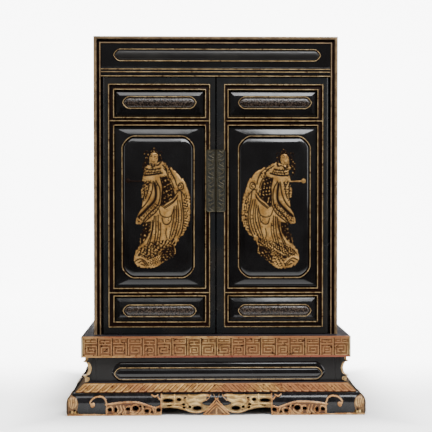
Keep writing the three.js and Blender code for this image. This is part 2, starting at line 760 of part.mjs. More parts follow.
// A robed figure with a tablet and a small winged hat, in shares of its height from its feet
function reliefFigure(centreX, centreZ, ground, back) {
  const place = ([x, z]) =>
    [centreX + (x - 0.06) * figureHeight, centreZ + (z - 0.52) * figureHeight];
  const raised = (shape, share) =>
    frontPrism(shape, ground - figureRelief * share, back);
  const smooth = (points, steps) => {
    const curve = new THREE.SplineCurve(points.map((point) => new THREE.Vector2(...place(point))));
    return new THREE.Shape(curve.getPoints(steps));
  };
  const cloak = [[0, 0.86], [0.1, 0.85], [0.22, 0.79], [0.3, 0.7], [0.33, 0.55], [0.32, 0.42],
    [0.27, 0.29], [0.2, 0.19], [0.2, 0.12], [0.1, 0.06], [0, 0.005], [-0.1, 0.02], [-0.145, 0.08],
    [-0.11, 0.16], [-0.085, 0.27], [-0.075, 0.37], [-0.12, 0.385], [-0.06, 0.5], [-0.1, 0.65],
    [-0.07, 0.75], [-0.03, 0.83]];
  const sleeve = [[0.06, 0.8], [0.2, 0.74], [0.24, 0.6], [0.16, 0.5], [0.04, 0.44], [-0.1, 0.39],
    [-0.06, 0.5], [-0.08, 0.64], [-0.03, 0.76]];
  const folds = [
    [[0.24, 0.74], [0.3, 0.58], [0.29, 0.42], [0.22, 0.26]],
    [[0.22, 0.68], [0.25, 0.52], [0.22, 0.38], [0.16, 0.24]],
    [[0.02, 0.78], [-0.02, 0.68], [0.04, 0.56], [-0.04, 0.46]],
    [[0.1, 0.78], [0.08, 0.66], [0.12, 0.54], [0.02, 0.46]],
    [[0.0, 0.4], [-0.01, 0.28], [-0.06, 0.16], [-0.09, 0.06]],
    [[0.06, 0.38], [0.05, 0.26], [0.0, 0.14], [-0.02, 0.04]],
    [[0.12, 0.36], [0.12, 0.26], [0.08, 0.16], [0.06, 0.07]],
    [[0.19, 0.34], [0.19, 0.27], [0.16, 0.19], [0.15, 0.13]],
    [[0.06, 0.46], [0.13, 0.42], [0.2, 0.46], [0.24, 0.52]],
  ];
  const leafWidth = (share) => figureHeight * (0.006 + 0.026 * Math.sin(Math.PI * share));
  const head = new THREE.SphereGeometry(1, 7, 5);
  const headRadius = figureHeight * 0.05;
  const [headX, headZ] = place([-0.005, 0.885]);
  head.scale(headRadius * 0.82, figureRelief, headRadius);
  head.translate(headX, ground, headZ);
  const hat = outline([[-0.05, 0.915], [0.045, 0.915], [0.075, 0.93], [0.05, 0.95],
    [0.03, 0.99], [-0.01, 0.995], [-0.03, 0.95], [-0.075, 0.94]].map(place));
  const tablet = outline([[-0.06, 0.7], [-0.19, 0.735], [-0.195, 0.755], [-0.06, 0.73]].map(place));
  return [
    raised(smooth(cloak, 24), 0.35),
    raised(smooth(sleeve, 10), 0.6),
    ...folds.map((fold) => raised(ribbon(fold.map(place), 3, leafWidth), 0.9)),
    solidOf(head),
    raised(hat, 0.75),
    raised(tablet, 0.7),
  ];
}

// Bronze lock plate with cusped ends and a raised border
function lockPlate() {
  const right = doorInnerEdge;
  const left = right - plateWidth;
  const middle = (doorTop + doorBottom) / 2 + plateCentreRise;
  const low = middle - plateHeight / 2;
  const high = middle + plateHeight / 2;
  const back = doorFront - lineHeight - fitGap;
  const nick = plateWidth * 0.15;
  const rim = (inset) => outline([[left + inset, low + nick], [left + nick, low + inset],
    [right - inset, low + inset], [right - inset, high - inset], [left + nick, high - inset],
    [left + inset, high - nick]]);
  const plate = frontPrism(rim(0), back - plateThickness, back);
  const sunk = frontPrism(rim(lineWidth * 0.8), back - plateThickness - 1,
    back - plateThickness / 2);
  return plate.subtract(sunk);
}

function door(prefix, side) {
  const bays = doorBays();
  const group = new THREE.Group();
  group.add(mesh(`${prefix}_door_frame`, doorFrame(), blackLacquer));
  group.add(mesh(`${prefix}_upper_panel`, smallPanel(bays.upper, upperCapsuleRaise), blackLacquer));
  group.add(mesh(`${prefix}_main_panel`, mainPanel(bays.main), blackLacquer));
  group.add(mesh(`${prefix}_lower_panel`, smallPanel(bays.lower, lowerCapsuleRaise), blackLacquer));
  group.add(mesh(`${prefix}_lock_plate`, lockPlate(), bronze));
  group.scale.x = side;
  return group;
}

const group = new THREE.Group();
group.name = 'lacquered_altar';
group.add(...aprons(), treadBoard(), ...waist(), deck());
group.add(...cabinetCase(), door('left', 1), door('right', -1));

export default group;
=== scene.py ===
import math
import random

import bmesh
import bpy
import numpy as np
from mathutils import Matrix, Vector


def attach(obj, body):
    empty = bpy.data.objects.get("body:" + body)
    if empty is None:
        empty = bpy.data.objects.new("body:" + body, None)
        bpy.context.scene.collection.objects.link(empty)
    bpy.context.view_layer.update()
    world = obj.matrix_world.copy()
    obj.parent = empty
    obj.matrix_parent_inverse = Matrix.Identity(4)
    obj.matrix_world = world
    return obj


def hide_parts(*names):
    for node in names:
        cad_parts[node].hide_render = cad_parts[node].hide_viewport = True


# The looks of a lacquered altar: black lacquer, worn gilding and a pair of carved figures.
# Lengths are in millimetres until a piece is made, +Z is up and the front faces -Y.

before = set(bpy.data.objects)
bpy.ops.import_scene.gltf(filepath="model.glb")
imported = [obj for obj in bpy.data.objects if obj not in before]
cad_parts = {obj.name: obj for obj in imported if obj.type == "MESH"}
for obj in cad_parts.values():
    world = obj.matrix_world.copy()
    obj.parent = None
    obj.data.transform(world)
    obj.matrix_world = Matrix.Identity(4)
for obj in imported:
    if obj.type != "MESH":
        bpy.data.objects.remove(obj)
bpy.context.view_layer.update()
MM = 0.001

# Material slots of the cabinet work; some pieces add a duller lacquer as the fifth
LACQUER, GROOVE, GILT, STRIP, DULLER = range(5)

# Cabinet case
FRONT = -140.0
BACK = 140.0
CASE_HALF = 204.0
CASE_TOP = 625.0
WALL = 12.5
STRIP_WIDTH = 5.2
GROOVE_END = 9.5
LINE = 1.4
LINE_RISE = 0.7

# Frieze and lintel
OPENING_HALF = 191.2
FRIEZE_LOW, FRIEZE_HIGH = 573.2, 612.2
FRIEZE_CAPSULE = (-170.6, 175.0, 583.2, 603.8)
FRIEZE_BASE, FRIEZE_TOP = -138.4, -139.0
LINTEL_LOW, LINTEL_HIGH = 557.7, 572.9
LINTEL_FACE = -138.0
LINTEL_BEADS = (570.3, 565.7, 558.8)

# Doors, drawn as on the left door
DOOR_LEFT, DOOR_RIGHT = -190.6, -0.75
DOOR_LOW, DOOR_HIGH = 127.9, 556.6
DOOR_FRONT = -138.5
DOOR_BACK = -122.5
HINGE = (-182.0, -130.5)
HINGE_RADIUS = 8.6
FRAME_MARGIN = 11.2
COVE_END = 20.8
OPENINGS = {
    "upper": (-169.8, -21.55, 490.3, 535.8),
    "main": (-169.8, -21.55, 205.1, 476.3),
    "lower": (-169.8, -21.55, 148.7, 191.1),
}
RAIL_LINES = (484.2, 197.2)
# How far the outer line and the openings reach toward the meeting edge on each door
MEETING_SHIFT = {1: (2.0, 3.6), -1: (-1.8, 0.6)}
SMALL_CAPSULE = (-155.8, -32.6)
SMALL_CAPSULE_MIDDLE = {"upper": 514.6, "lower": 166.9}
SMALL_CAPSULE_HALF = 10.5
MAIN_LINE = (-157.3, -35.8, 221.5, 459.5)
# The right door's bars and its main line sit a little further out than the left door's
BAR_OUTWARD = {1: 0.0, -1: -4.4}
LINE_OUTWARD = {1: 0.0, -1: -1.2}
# How far the pillow of a main panel is drawn in at each rise
PILLOW = ((0.35, 0.6), (1.4, 1.5), (3.0, 2.35), (4.9, 3.15), (6.7, 3.82), (8.2, 4.25),
          (9.6, 4.48), (11.5, 4.58), (14, 4.6))
FIGURE_AT = (-108.7, 238.1)
PLATE_WIDTH = 15.8
PLATE_HALF_HEIGHT = 52
PLATE_ABOVE_MIDDLE = 42

# Stand
DECK_LOW, DECK_TOP = 91.7, 126.8
DECK_HALF_X, DECK_HALF_Y = 223.5, 160.0
RIM = 3.0
KEY_PITCH = 24.4
TREAD_LOW, TREAD_TOP = 36.3, 50.0
TREAD_SET_BACK = 1.4
LEAF_WIDTH, LEAF_LEAN = 13, 14
STAND_HALF_X, STAND_HALF_Y = 245.0, 185.0
APRON_TOP = 36.0
APRON_LEAN = 12.0
APRON_BOARD = 20.0
# The apron's shoulder bows back above this height, over this much of the height
SHOULDER_LOW, SHOULDER_TALL = 20, 16
# Width of a leg, and half the width of the bay that the carving is drawn for
LEG = 65
DRAWN_BAY = 90.0
CARVING = 1.6
SLOPE = 13.4
POST_X, POST_Y = 220.3, 156.8
POST_SIZE = 20.5
HOLLOW = 8.0
WAIST_LOW, WAIST_HIGH = 50.3, 91.4


# Colours and materials

def linear(code):
    """A colour written as sRGB hex digits, turned linear."""
    channels = [int(code[place:place + 2], 16) / 255 for place in (0, 2, 4)]
    return [c / 12.92 if c <= 0.04045 else ((c + 0.055) / 1.055) ** 2.4 for c in channels] + [1]


def feed(tree, node, links):
    """Joins outputs to the inputs of a node."""
    for key, source in links.items():
        tree.links.new(source, node.inputs[key])


def add(tree, kind, settings=None, values=None, links=None):
    """A shader node with its settings, its input values and what feeds its inputs."""
    made = tree.nodes.new("ShaderNode" + kind)
    for key, value in (settings or {}).items():
        setattr(made, key, value)
    for key, value in (values or {}).items():
        made.inputs[key].default_value = value
    feed(tree, made, links or {})
    return made


def combined(tree, operation, links, values=None):
    """The result of one sum on values, each joined or given by its place in the sum."""
    made = add(tree, "Math", settings={"operation": operation}, values=values, links=links)
    return made.outputs[0]


def start(name):
    """An empty material, its node tree, its surface node and its place in millimetres."""
    material = bpy.data.materials.new(name)
    material.use_nodes = True
    tree = material.node_tree
    surface = tree.nodes["Principled BSDF"]
    place = add(tree, "TexCoord").outputs["Object"]
    scaled = add(tree, "Mapping", values={"Scale": (1000, 1000, 1000)}, links={"Vector": place})
    return material, tree, surface, scaled.outputs["Vector"]


def noise(tree, place, size, detail=3.0, roughness=0.55):
    """Noise with features about size millimetres across."""
    made = add(tree, "TexNoise", values={
        "Scale": 1 / size, "Detail": detail, "Roughness": roughness}, links={"Vector": place})
    return made.outputs["Fac"]


def spread(tree, source, low, high, to_low=0.0, to_high=1.0):
    """A value mapped smoothly from one range to another."""
    made = add(tree, "MapRange", settings={"interpolation_type": "SMOOTHSTEP"}, values={
        "From Min": low, "From Max": high, "To Min": to_low, "To Max": to_high},
        links={"Value": source})
    return made.outputs["Result"]


def mixed(tree, share, first, second):
    """Two colours mixed by a share; a colour is hex digits or an output."""
    made = add(tree, "Mix", settings={"data_type": "RGBA"}, links={0: share})
    for socket, colour in ((6, first), (7, second)):
        if isinstance(colour, str):
            made.inputs[socket].default_value = linear(colour)
        else:
            tree.links.new(colour, made.inputs[socket])
    return made.outputs[2]


def bumped(tree, height, strength, distance=0.0004):
    made = add(tree, "Bump", values={"Strength": strength, "Distance": distance},
               links={"Height": height})
    return made.outputs["Normal"]


def attribute(tree, name):
    return add(tree, "Attribute", settings={"attribute_name": name}).outputs["Fac"]


def lacquer(name, colour, tint, low_roughness, high_roughness, shine=0.5):
    """Lacquer: deep colour with a faint cloudy tint, dulled in patches by handling."""
    material, tree, surface, place = start(name)
    cloud = spread(tree, noise(tree, place, 60), 0.35, 0.7)
    haze = spread(tree, noise(tree, place, 22, 5), 0.3, 0.75, low_roughness, high_roughness)
    ripple = noise(tree, place, 9, 2)
    links = {
        "Base Color": mixed(tree, cloud, colour, tint),
        "Roughness": haze,
        "Normal": bumped(tree, ripple, 0.05),
    }
    feed(tree, surface, links)
    surface.inputs["Specular IOR Level"].default_value = shine
    return material


def gilding(name, colour, bright, bole, wear, metal=0.55, rough=0.42, grain=2.2, blush=None,
            shine=0.35, reddened=None):
    """Gilding on lacquer: gold that varies in tone, rubbed through to the red-brown bole."""
    material, tree, surface, place = start(name)
    tone = spread(tree, noise(tree, place, 14, 4), 0.35, 0.65)
    rubbed = spread(tree, noise(tree, place, 5, 6, 0.7), wear, wear - 0.09)
    hollow = attribute(tree, "hollow")
    gold = mixed(tree, tone, colour, bright)
    if blush:
        broad = spread(tree, noise(tree, place, 110, 2), 0.45, 0.62)
        if reddened:
            x = add(tree, "SeparateXYZ", links={0: place}).outputs["X"]
            broad = spread(tree, x, *reddened)
        gold = mixed(tree, broad, gold, blush)
    worn = mixed(tree, rubbed, gold, bole)
    # The hollow share mixes in the bole: rubbed-through bole where a carving marks cut lines and wear,
    # painted shade where it marks the valleys between raised work.
    shown = mixed(tree, hollow, worn, bole)
    loss = combined(tree, "MAXIMUM", {0: rubbed, 1: hollow})
    links = {
        "Base Color": shown,
        "Metallic": spread(tree, loss, 0, 1, metal, 0.0),
        "Roughness": spread(tree, loss, 0, 1, rough, rough + 0.2),
        "Specular IOR Level": spread(tree, loss, 0, 1, shine, shine * 0.2),
        "Normal": bumped(tree, noise(tree, place, grain, 4), 0.35),
    }
    feed(tree, surface, links)
    return material


# Deep black lacquer with a soft shine, dulled a little where hands reach
BLACK = lacquer("black_lacquer", "0c0a0a", "131212", 0.1, 0.2, 0.4)
# The flat margins of the doors: rougher from handling, and a shade greyer as a painted sheen
MARGIN = lacquer("margin_black_lacquer_painted_sheen", "151617", "1f1d1b", 0.16, 0.3, 0.4)
# The same lacquer rougher on the waist, its colour a shade greyer as a painted sheen
DULL = lacquer("dull_black_lacquer", "1b1918", "22201e", 0.3, 0.42, 0.25)
# Tops of the deck and the tread with little shine left, greyish partly from dust and wear and partly as a
# painted sheen
DUST_AND_SHEEN = lacquer("dust_and_sheen_black_lacquer", "2a2526", "353032", 0.6, 0.75, 0.02)
# Dark red-brown lacquer in the coves and grooves beside the gilt lines
COVE = lacquer("red_brown_lacquer", "160602", "0a0302", 0.45, 0.6, 0.06)
# Plain black lacquer of the back, duller than the front
PLAIN = lacquer("plain_back_lacquer", "120f0e", "1a1513", 0.5, 0.65, 0.06)
# Black lacquer of the sides and the top, quieter than the front
SIDE_BLACK = lacquer("side_black_lacquer", "0d0b0b", "151211", 0.34, 0.48, 0.12)
# Dark red lacquer inside the cabinet
INSIDE = lacquer("red_inside_lacquer", "4a130d", "3a0f0b", 0.3, 0.42, 0.3)
# Pale sandy gold of the raised lines, rubbed brown in short stretches
LINE_GILT = gilding("gilt_lines", "7d6541", "a88f66", "3f2716", 0.46, 0.4, 0.45)
# Brown worn gilding of the rounded case edge and its bead
EDGE_GILT = gilding("case_edge_gilding", "614e38", "80694b", "2f1d12", 0.42, 0.25, 0.48)
# Warm ochre gold of the figures, dark brown in the folds
FIGURE_GILT = gilding("figure_gilding", "9a7038", "c59a5b", "140803", 0.42, 0.5, 0.42, 1.6)
# Orange gold of the leaning lappets, with red-brown strokes between them that are partly real and partly
# painted shade
LAPPET_GILT = gilding("lappet_gilding", "8f6430", "b98e50", "3d1a0c", 0.45, 0.25, 0.46, 2.2, "936038")
# The same leaves on the sides, rubbed dull and grey
SIDE_GILT = gilding("side_lappet_gilding", "54473b", "6b5a48", "2a1c14", 0.45, 0.0, 0.7, 2.2, None, 0.0)
# Brown gold of the key fret with dark lines between its bars
FRET_GILT = gilding("fret_gilding", "8f6c40", "b1905f", "45230f", 0.45, 0.35, 0.46, 2.2, "9a7048")
# Sunk ground of the fret, brown with the gold nearly gone
FRET_BASE = gilding("fret_ground", "62401f", "75522d", "2e1509", 0.47, 0.2, 0.5, 2.2, "704828")
# Narrow dark joints between the fret's units
FRET_JOINT = lacquer("fret_joint", "200b04", "140602", 0.5, 0.6, 0.06)
# Reddish worn gilding of the deck's rims
RIM_GILT = gilding("rim_gilding", "8c6438", "ab8453", "6a3220", 0.45, 0.3, 0.46, 2.2, "8a5634")
# The lower rim goes from gold at the left to rubbed red at the right
LOW_RIM_GILT = gilding("low_rim_gilding", "8c6438", "ab8453", "5e2419", 0.45, 0.2, 0.46,
                       blush="7f4734", reddened=(-190, -60))
# Pale gold on the ends of the deck
END_GILT = gilding("end_gilding", "8d7a55", "ab9a74", "4c3a22", 0.42, 0.3, 0.46)
# Pale gilding on the hollow corner posts
POST_GILT = gilding("post_gilding", "8f7247", "ab8d5f", "4c2f1c", 0.4, 0.3, 0.45)


def speckled_material():
    """Small bars on the doors: dark brown, speckled with what is left of the gilding."""
    material, tree, surface, place = start("speckled_bar")
    specks = spread(tree, noise(tree, place, 2.2, 5, 0.7), 0.44, 0.62)
    links = {
        "Base Color": mixed(tree, specks, "0e0806", "43352a"),
        "Roughness": spread(tree, specks, 0, 1, 0.2, 0.35),
        "Normal": bumped(tree, noise(tree, place, 2.6, 3, 0.6), 1.0, 0.0007),
    }
    feed(tree, surface, links)
    return material


def bronze_material():
    """Dark greenish brown bronze, brighter on the raised scrolls where it is rubbed."""
    material, tree, surface, place = start("lock_plate_bronze")
    patina = spread(tree, noise(tree, place, 6, 5), 0.35, 0.65)
    dark = mixed(tree, patina, "1a1914", "2d2b22")
    hollow = attribute(tree, "hollow")
    links = {
        "Base Color": mixed(tree, hollow, "4c4635", dark),
        "Roughness": spread(tree, hollow, 0, 1, 0.38, 0.6),
        "Metallic": spread(tree, hollow, 0, 1, 0.8, 0.45),
        "Normal": bumped(tree, noise(tree, place, 1.5, 4), 0.3),
    }
    feed(tree, surface, links)
    return material


BRONZE = bronze_material()

CABINET_LOOKS = [BLACK, COVE, LINE_GILT, EDGE_GILT]
DOOR_LOOKS = [MARGIN, COVE, LINE_GILT, EDGE_GILT]
BAR_LOOKS = [BLACK, COVE, LINE_GILT, speckled_material()]


# Shapes

def make(name, bm, looks, body="cabinet", stands_for=(), slot="black_lacquer", side=1, angle=32):
    """Turns a bmesh in millimetres into a piece that rides on a body, in place of CAD nodes."""
    bmesh.ops.remove_doubles(bm, verts=bm.verts[:], dist=0.004)
    bmesh.ops.dissolve_degenerate(bm, edges=bm.edges[:], dist=0.002)
    bmesh.ops.scale(bm, vec=(side * MM, MM, MM), verts=bm.verts[:])
    bmesh.ops.recalc_face_normals(bm, faces=bm.faces[:])
    sharp = math.radians(angle)
    for face in bm.faces:
        face.smooth = True
    for edge in bm.edges:
        edge.smooth = edge.calc_face_angle(0.0) < sharp
    data = bpy.data.meshes.new(name)
    bm.to_mesh(data)
    bm.free()
    for look in looks:
        data.materials.append(look)
    piece = bpy.data.objects.new(name, data)
    bpy.context.scene.collection.objects.link(piece)
    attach(piece, body)
    if stands_for:
        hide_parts(*stands_for)
    return piece


def loft(bm, rings, look=0, closed=True, wrap=False, ends=(False, False)):
    """Faces between neighbouring rings of points. look is a slot, or a function of span and step."""
    rows = [[bm.verts.new(point) for point in ring] for ring in rings]
    spans = list(zip(rows, rows[1:])) + ([(rows[-1], rows[0])] if wrap else [])
    count = len(rows[0])
    for span, (near, far) in enumerate(spans):
        for step in range(count if closed else count - 1):
            after = (step + 1) % count
            face = bm.faces.new((near[step], near[after], far[after], far[step]))
            face.material_index = look(span, step) if callable(look) else look
    for row, wanted in zip((rows[0], rows[-1]), ends):
        if wanted:
            face = bm.faces.new(row)
            face.material_index = look(0, 0) if callable(look) else look


def block(bm, left, right, front, back, low, high, bevel=0.0, look=0, segments=2):
    """A box with softened edges."""
    size = Matrix.Diagonal((right - left, back - front, high - low, 1))
    place = Matrix.Translation(((left + right) / 2, (front + back) / 2, (low + high) / 2))
    made = bmesh.ops.create_cube(bm, size=1, matrix=place @ size)
    verts = made["verts"]
    faces = {face for vert in verts for face in vert.link_faces}
    for face in faces:
        face.material_index = look
    if bevel:
        edges = {edge for vert in verts for edge in vert.link_edges}
        softened = bmesh.ops.bevel(bm, geom=list(edges), offset=bevel, segments=segments,
                                   profile=0.5, affect="EDGES", material=-1)
        return softened["verts"]
    return verts


def blunted(share):
    """Pulls a point of a round corner in towards the chamfer."""
    return math.copysign(abs(share) ** 1.3, share)


def rounded(left, right, low, high, y, radius=0.0, steps=6):
    """A ring of points round a rectangle with blunt round corners, facing the front."""
    radius = max(radius, 0.0)
    centres = ((right - radius, high - radius), (left + radius, high - radius),
               (left + radius, low + radius), (right - radius, low + radius))
    ring = []
    for corner, (x, z) in enumerate(centres):
        for step in range(steps + 1):
            turn = (corner + step / steps) * math.pi / 2
            ring.append((x + radius * blunted(math.cos(turn)), y, z + radius * blunted(math.sin(turn))))
    return ring


def inset_ring(box, inset, y, radius=0.0, steps=6):
    left, right, low, high = box
    return rounded(left + inset, right - inset, low + inset, high - inset, y, radius, steps)


# Half-round section of a raised line: shares of its width and of its rise
HALF_ROUND = ((-0.5, -1.2), (-0.5, 0.35), (-0.28, 0.85), (0, 1), (0.28, 0.85), (0.5, 0.35), (0.5, -1.2))


def line_ring(bm, box, y, radius=0.0, width=LINE, rise=LINE_RISE, look=0, steps=6):
    """A raised half-round line round a rectangle whose box is the line's middle."""
    rings = [inset_ring(box, share * width, y - height * rise, radius - share * width, steps)
             for share, height in HALF_ROUND]
    loft(bm, rings, look, wrap=True)


def line_bar(bm, left, right, z, y, width=LINE, rise=LINE_RISE, look=0):
    """A raised half-round line from left to right."""
    section = [(share * width, y - height * rise) for share, height in HALF_ROUND]
    rings = [[(x, depth, z + off) for off, depth in section] for x in (left, right)]
    loft(bm, rings, look, ends=(True, True))


def bar(bm, left, right, middle, half, y, rise, look=0, steps=5):
    """A half-round bar with round ends that stands on the plane y."""
    rings = []
    for level in range(steps + 1):
        turn = level / steps * math.pi / 2
        radius = max(half * math.cos(turn), 0.02)
        rings.append(rounded(left + half - radius, right - half + radius, middle - radius,
                             middle + radius, y - rise * math.sin(turn), radius, 8))
    loft(bm, rings, look, ends=(False, True))


def capsule(bm, box, y, gap, look, rise=2.5):
    """A gilt line round a half-round bar with blunt ends."""
    left, right, low, high = box
    half = (high - low) / 2
    middle = (high + low) / 2
    line_ring(bm, (left + LINE / 2, right - LINE / 2, low + LINE / 2, high - LINE / 2), y,
              half - LINE / 2, look=GILT, steps=8)
    inner = half - LINE - gap
    bar(bm, left + LINE + gap, right - LINE - gap, middle, inner, y + 0.4, rise, look)


# Cabinet case

def case_section():
    """Section of the case edge, as inset from outside and depth, with each span's slot."""
    half = STRIP_WIDTH / 2
    points = [(0.8, BACK, DULLER), (0, BACK - 0.8, DULLER)]
    for step in range(9):
        turn = math.pi * (1 - step / 8)
        points.append((half + half * math.cos(turn), FRONT + 2.2 - 2.2 * math.sin(turn), STRIP))
    points[-1] = (*points[-1][:2], GROOVE)
    points.append((STRIP_WIDTH + 0.3, FRONT + 4.5, GROOVE))
    points.append((GROOVE_END - 0.2, FRONT + 4.5, GROOVE))
    for share, rise, look in ((0, 0, GROOVE), (0.2, 0.6, STRIP), (0.5, 0.8, STRIP), (0.8, 0.6, GROOVE)):
        points.append((GROOVE_END + share * (WALL - GROOVE_END), FRONT + 1.8 - rise, look))
    points.append((WALL, FRONT + 1.8, LACQUER))
    points.append((WALL, BACK, DULLER))
    return points


def build_case():
    """Sides and top in one moulding, carried up, across and down."""
    section = case_section()
    low = DECK_TOP + 0.3
    bm = bmesh.new()
    rings = [
        [(-CASE_HALF + inset, y, low) for inset, y, _ in section],
        [(-CASE_HALF + inset, y, CASE_TOP - inset) for inset, y, _ in section],
        [(CASE_HALF - inset, y, CASE_TOP - inset) for inset, y, _ in section],
        [(CASE_HALF - inset, y, low) for inset, y, _ in section],
    ]
    loft(bm, rings, lambda span, step: section[step][2], ends=(True, True))
    make("case", bm, [*CABINET_LOOKS, SIDE_BLACK], stands_for=("left_side", "right_side", "top_board"))


def build_frieze():
    """A board with mitred slopes, a gilt capsule line and a half-round bar."""
    bm = bmesh.new()
    left, right, low, high = -OPENING_HALF, OPENING_HALF, FRIEZE_LOW, FRIEZE_HIGH
    top = FRIEZE_TOP
    loft(bm, [
        rounded(left, right, low, high, FRIEZE_BASE + 12),
        rounded(left, right, low, high, FRIEZE_BASE + 0.3),
        rounded(left + 0.3, right - 0.3, low + 0.3, high - 0.3, FRIEZE_BASE),
        rounded(left + 14.6, right - 14.6, low + 9.2, high - 6.2, top + 0.12),
        rounded(left + 15.6, right - 15.6, low + 10.0, high - 7.2, top),
    ], LACQUER, ends=(True, True))
    capsule(bm, FRIEZE_CAPSULE, top, 1.2, DULLER, 2.6)
    make("frieze", bm, [*CABINET_LOOKS, DULL], stands_for=("frieze_panel",))


def build_lintel():
    """A plain beam with three gilt lines."""
    bm = bmesh.new()
    block(bm, -OPENING_HALF, OPENING_HALF, LINTEL_FACE, LINTEL_FACE + 26, LINTEL_LOW, LINTEL_HIGH,
          0.3)
    for z in LINTEL_BEADS:
        line_bar(bm, -OPENING_HALF, OPENING_HALF, z, LINTEL_FACE, look=GILT)
    make("lintel_beam", bm, CABINET_LOOKS, stands_for=("lintel",))


# Doors

def opening(key, side):
    """One opening of a door frame, a little wider toward the meeting edge."""
    left, right, low, high = OPENINGS[key]
    return left, right + MEETING_SHIFT[side][1], low, high


def door_frame(prefix, side):
    """Stiles and rails: a flat margin, a gilt line, a red-brown cove and lines at the openings."""
    bm = bmesh.new()

    line_shift, opening_shift = MEETING_SHIFT[side]

    def ring(inset, y, hinge_inset=None):
        left = DOOR_LEFT + (inset if hinge_inset is None else hinge_inset)
        reach = np.interp(inset, (5, FRAME_MARGIN, COVE_END), (0, line_shift, opening_shift))
        return rounded(left, DOOR_RIGHT - inset + reach, DOOR_LOW + inset, DOOR_HIGH - inset, y)

    rings = [ring(COVE_END, DOOR_BACK), ring(0.6, DOOR_BACK, 5.5)]
    for step in range(9):
        turn = math.asin(8 / HINGE_RADIUS) * (1 - step / 4)
        y = HINGE[1] + HINGE_RADIUS * math.sin(turn)
        edge = 0.6 if step in (0, 8) else 0.0
        rings.append(ring(edge, max(min(y, DOOR_BACK), DOOR_FRONT),
                          HINGE_RADIUS * (1 - math.cos(turn))))
    flat = len(rings)
    rings += [
        ring(FRAME_MARGIN, DOOR_FRONT),
        ring(FRAME_MARGIN + 1.8, DOOR_FRONT + 0.1),
        ring(FRAME_MARGIN + 2.6, DOOR_FRONT + 1.4),
        ring(FRAME_MARGIN + 4.2, DOOR_FRONT + 2.0),
        ring(FRAME_MARGIN + 5.6, DOOR_FRONT + 1.6),
        ring(COVE_END - 1.6, DOOR_FRONT + 0.4),
        ring(COVE_END, DOOR_FRONT + 0.4),
    ]
    loft(bm, rings, lambda span, step: GROOVE if flat <= span < flat + 6 else LACQUER, wrap=True)
    boxes = [opening(key, side) for key in ("upper", "main", "lower")]
    left, right = DOOR_LEFT + COVE_END - 3, DOOR_RIGHT - COVE_END + opening_shift + 3
    for above, below in zip(boxes, boxes[1:]):
        block(bm, left, right, DOOR_FRONT + 1.6, DOOR_BACK, below[3], above[2], 0.2, GROOVE)
    outer = (DOOR_LEFT + FRAME_MARGIN + LINE / 2, DOOR_RIGHT - FRAME_MARGIN + line_shift - LINE / 2,
             DOOR_LOW + FRAME_MARGIN + LINE / 2, DOOR_HIGH - FRAME_MARGIN - LINE / 2)
    line_ring(bm, outer, DOOR_FRONT, look=GILT)
    for box in boxes:
        line_ring(bm, [edge - LINE / 2 if low else edge + LINE / 2
                       for edge, low in zip(box, (True, False, True, False))],
                  DOOR_FRONT, look=GILT)
    for z in RAIL_LINES:
        line_bar(bm, outer[0], outer[1], z, DOOR_FRONT, look=GILT)
    for low, high in ((DOOR_LOW - 5.5, DOOR_LOW + 4), (DOOR_HIGH - 4, DOOR_HIGH + 5.5)):
        place = Matrix.Translation((HINGE[0], HINGE[1], (low + high) / 2))
        bmesh.ops.create_cone(bm, cap_ends=True, segments=24, radius1=3, radius2=3,
                              depth=high - low, matrix=place)
    make(f"{prefix}_frame", bm, DOOR_LOOKS, f"{prefix}_door",
         (f"{prefix}_door_frame",), side=side)


def small_panel(prefix, side, key):
    """A small panel: mitred slopes, a flat field and a speckled bar inside a gilt capsule line."""
    bm = bmesh.new()
    box = opening(key, side)
    base, top = DOOR_FRONT + 4.5, DOOR_FRONT + 0.4
    rings = [
        inset_ring(box, 0.3, base + 8),
        inset_ring(box, 0.3, base + 0.2),
        inset_ring(box, 0.6, base),
        inset_ring(box, 1.0, base - 0.18),
        inset_ring(box, 9.2, top + 0.42),
        inset_ring(box, 9.6, top + 0.25),
        inset_ring(box, 10.2, top),
    ]
    loft(bm, rings, LACQUER, ends=(True, True))
    middle = SMALL_CAPSULE_MIDDLE[key]
    left, right = (edge + BAR_OUTWARD[side] for edge in SMALL_CAPSULE)
    capsule(bm, (left, right, middle - SMALL_CAPSULE_HALF, middle + SMALL_CAPSULE_HALF), top, 1.4,
            STRIP, 2.6)
    make(f"{prefix}_{key}_field", bm, BAR_LOOKS, f"{prefix}_door",
         (f"{prefix}_{key}_panel",), side=side)


def main_panel(prefix, side):
    """The main panel: slopes, a gilt line with blunt corners, a groove and a pillow."""
    bm = bmesh.new()
    box = opening("main", side)
    base, top = DOOR_FRONT + 4.2, DOOR_FRONT
    inner = (*(edge + LINE_OUTWARD[side] for edge in MAIN_LINE[:2]), *MAIN_LINE[2:])
    rings = [
        inset_ring(box, 0.3, base + 8),
        inset_ring(box, 0.3, base + 0.2),
        inset_ring(box, 0.6, base),
        inset_ring(inner, -11.2, top + 3.95, 4),
        inset_ring(inner, -10.2, top + 3.5, 6),
        inset_ring(inner, -2.6, top + 0.18, 15),
        inset_ring(inner, -2.0, top + 0.03, 16),
        inset_ring(inner, -0.4, top, 18.3),
        inset_ring(inner, LINE, top, 18.3),
        inset_ring(inner, LINE + 0.3, top + 1.6, 18),
        inset_ring(inner, LINE + 1.6, top + 1.6, 17),
    ]
    for drawn_in, rise in PILLOW:
        rings.append(inset_ring(inner, LINE + 1.6 + drawn_in, top + 1.6 - rise, 17 - drawn_in * 0.45))
    flat = 8
    loft(bm, rings, lambda span, step: GROOVE if flat <= span < flat + 2 else LACQUER,
         ends=(True, True))
    line_ring(bm, [edge + LINE / 2 * sign for edge, sign in zip(inner, (1, -1, 1, -1))],
              top, 19.2, look=GILT, steps=8)
    make(f"{prefix}_main_field", bm, CABINET_LOOKS, f"{prefix}_door",
         (f"{prefix}_main_panel",), side=side)


# Carved relief: lines on the plane give heights on a fine grid

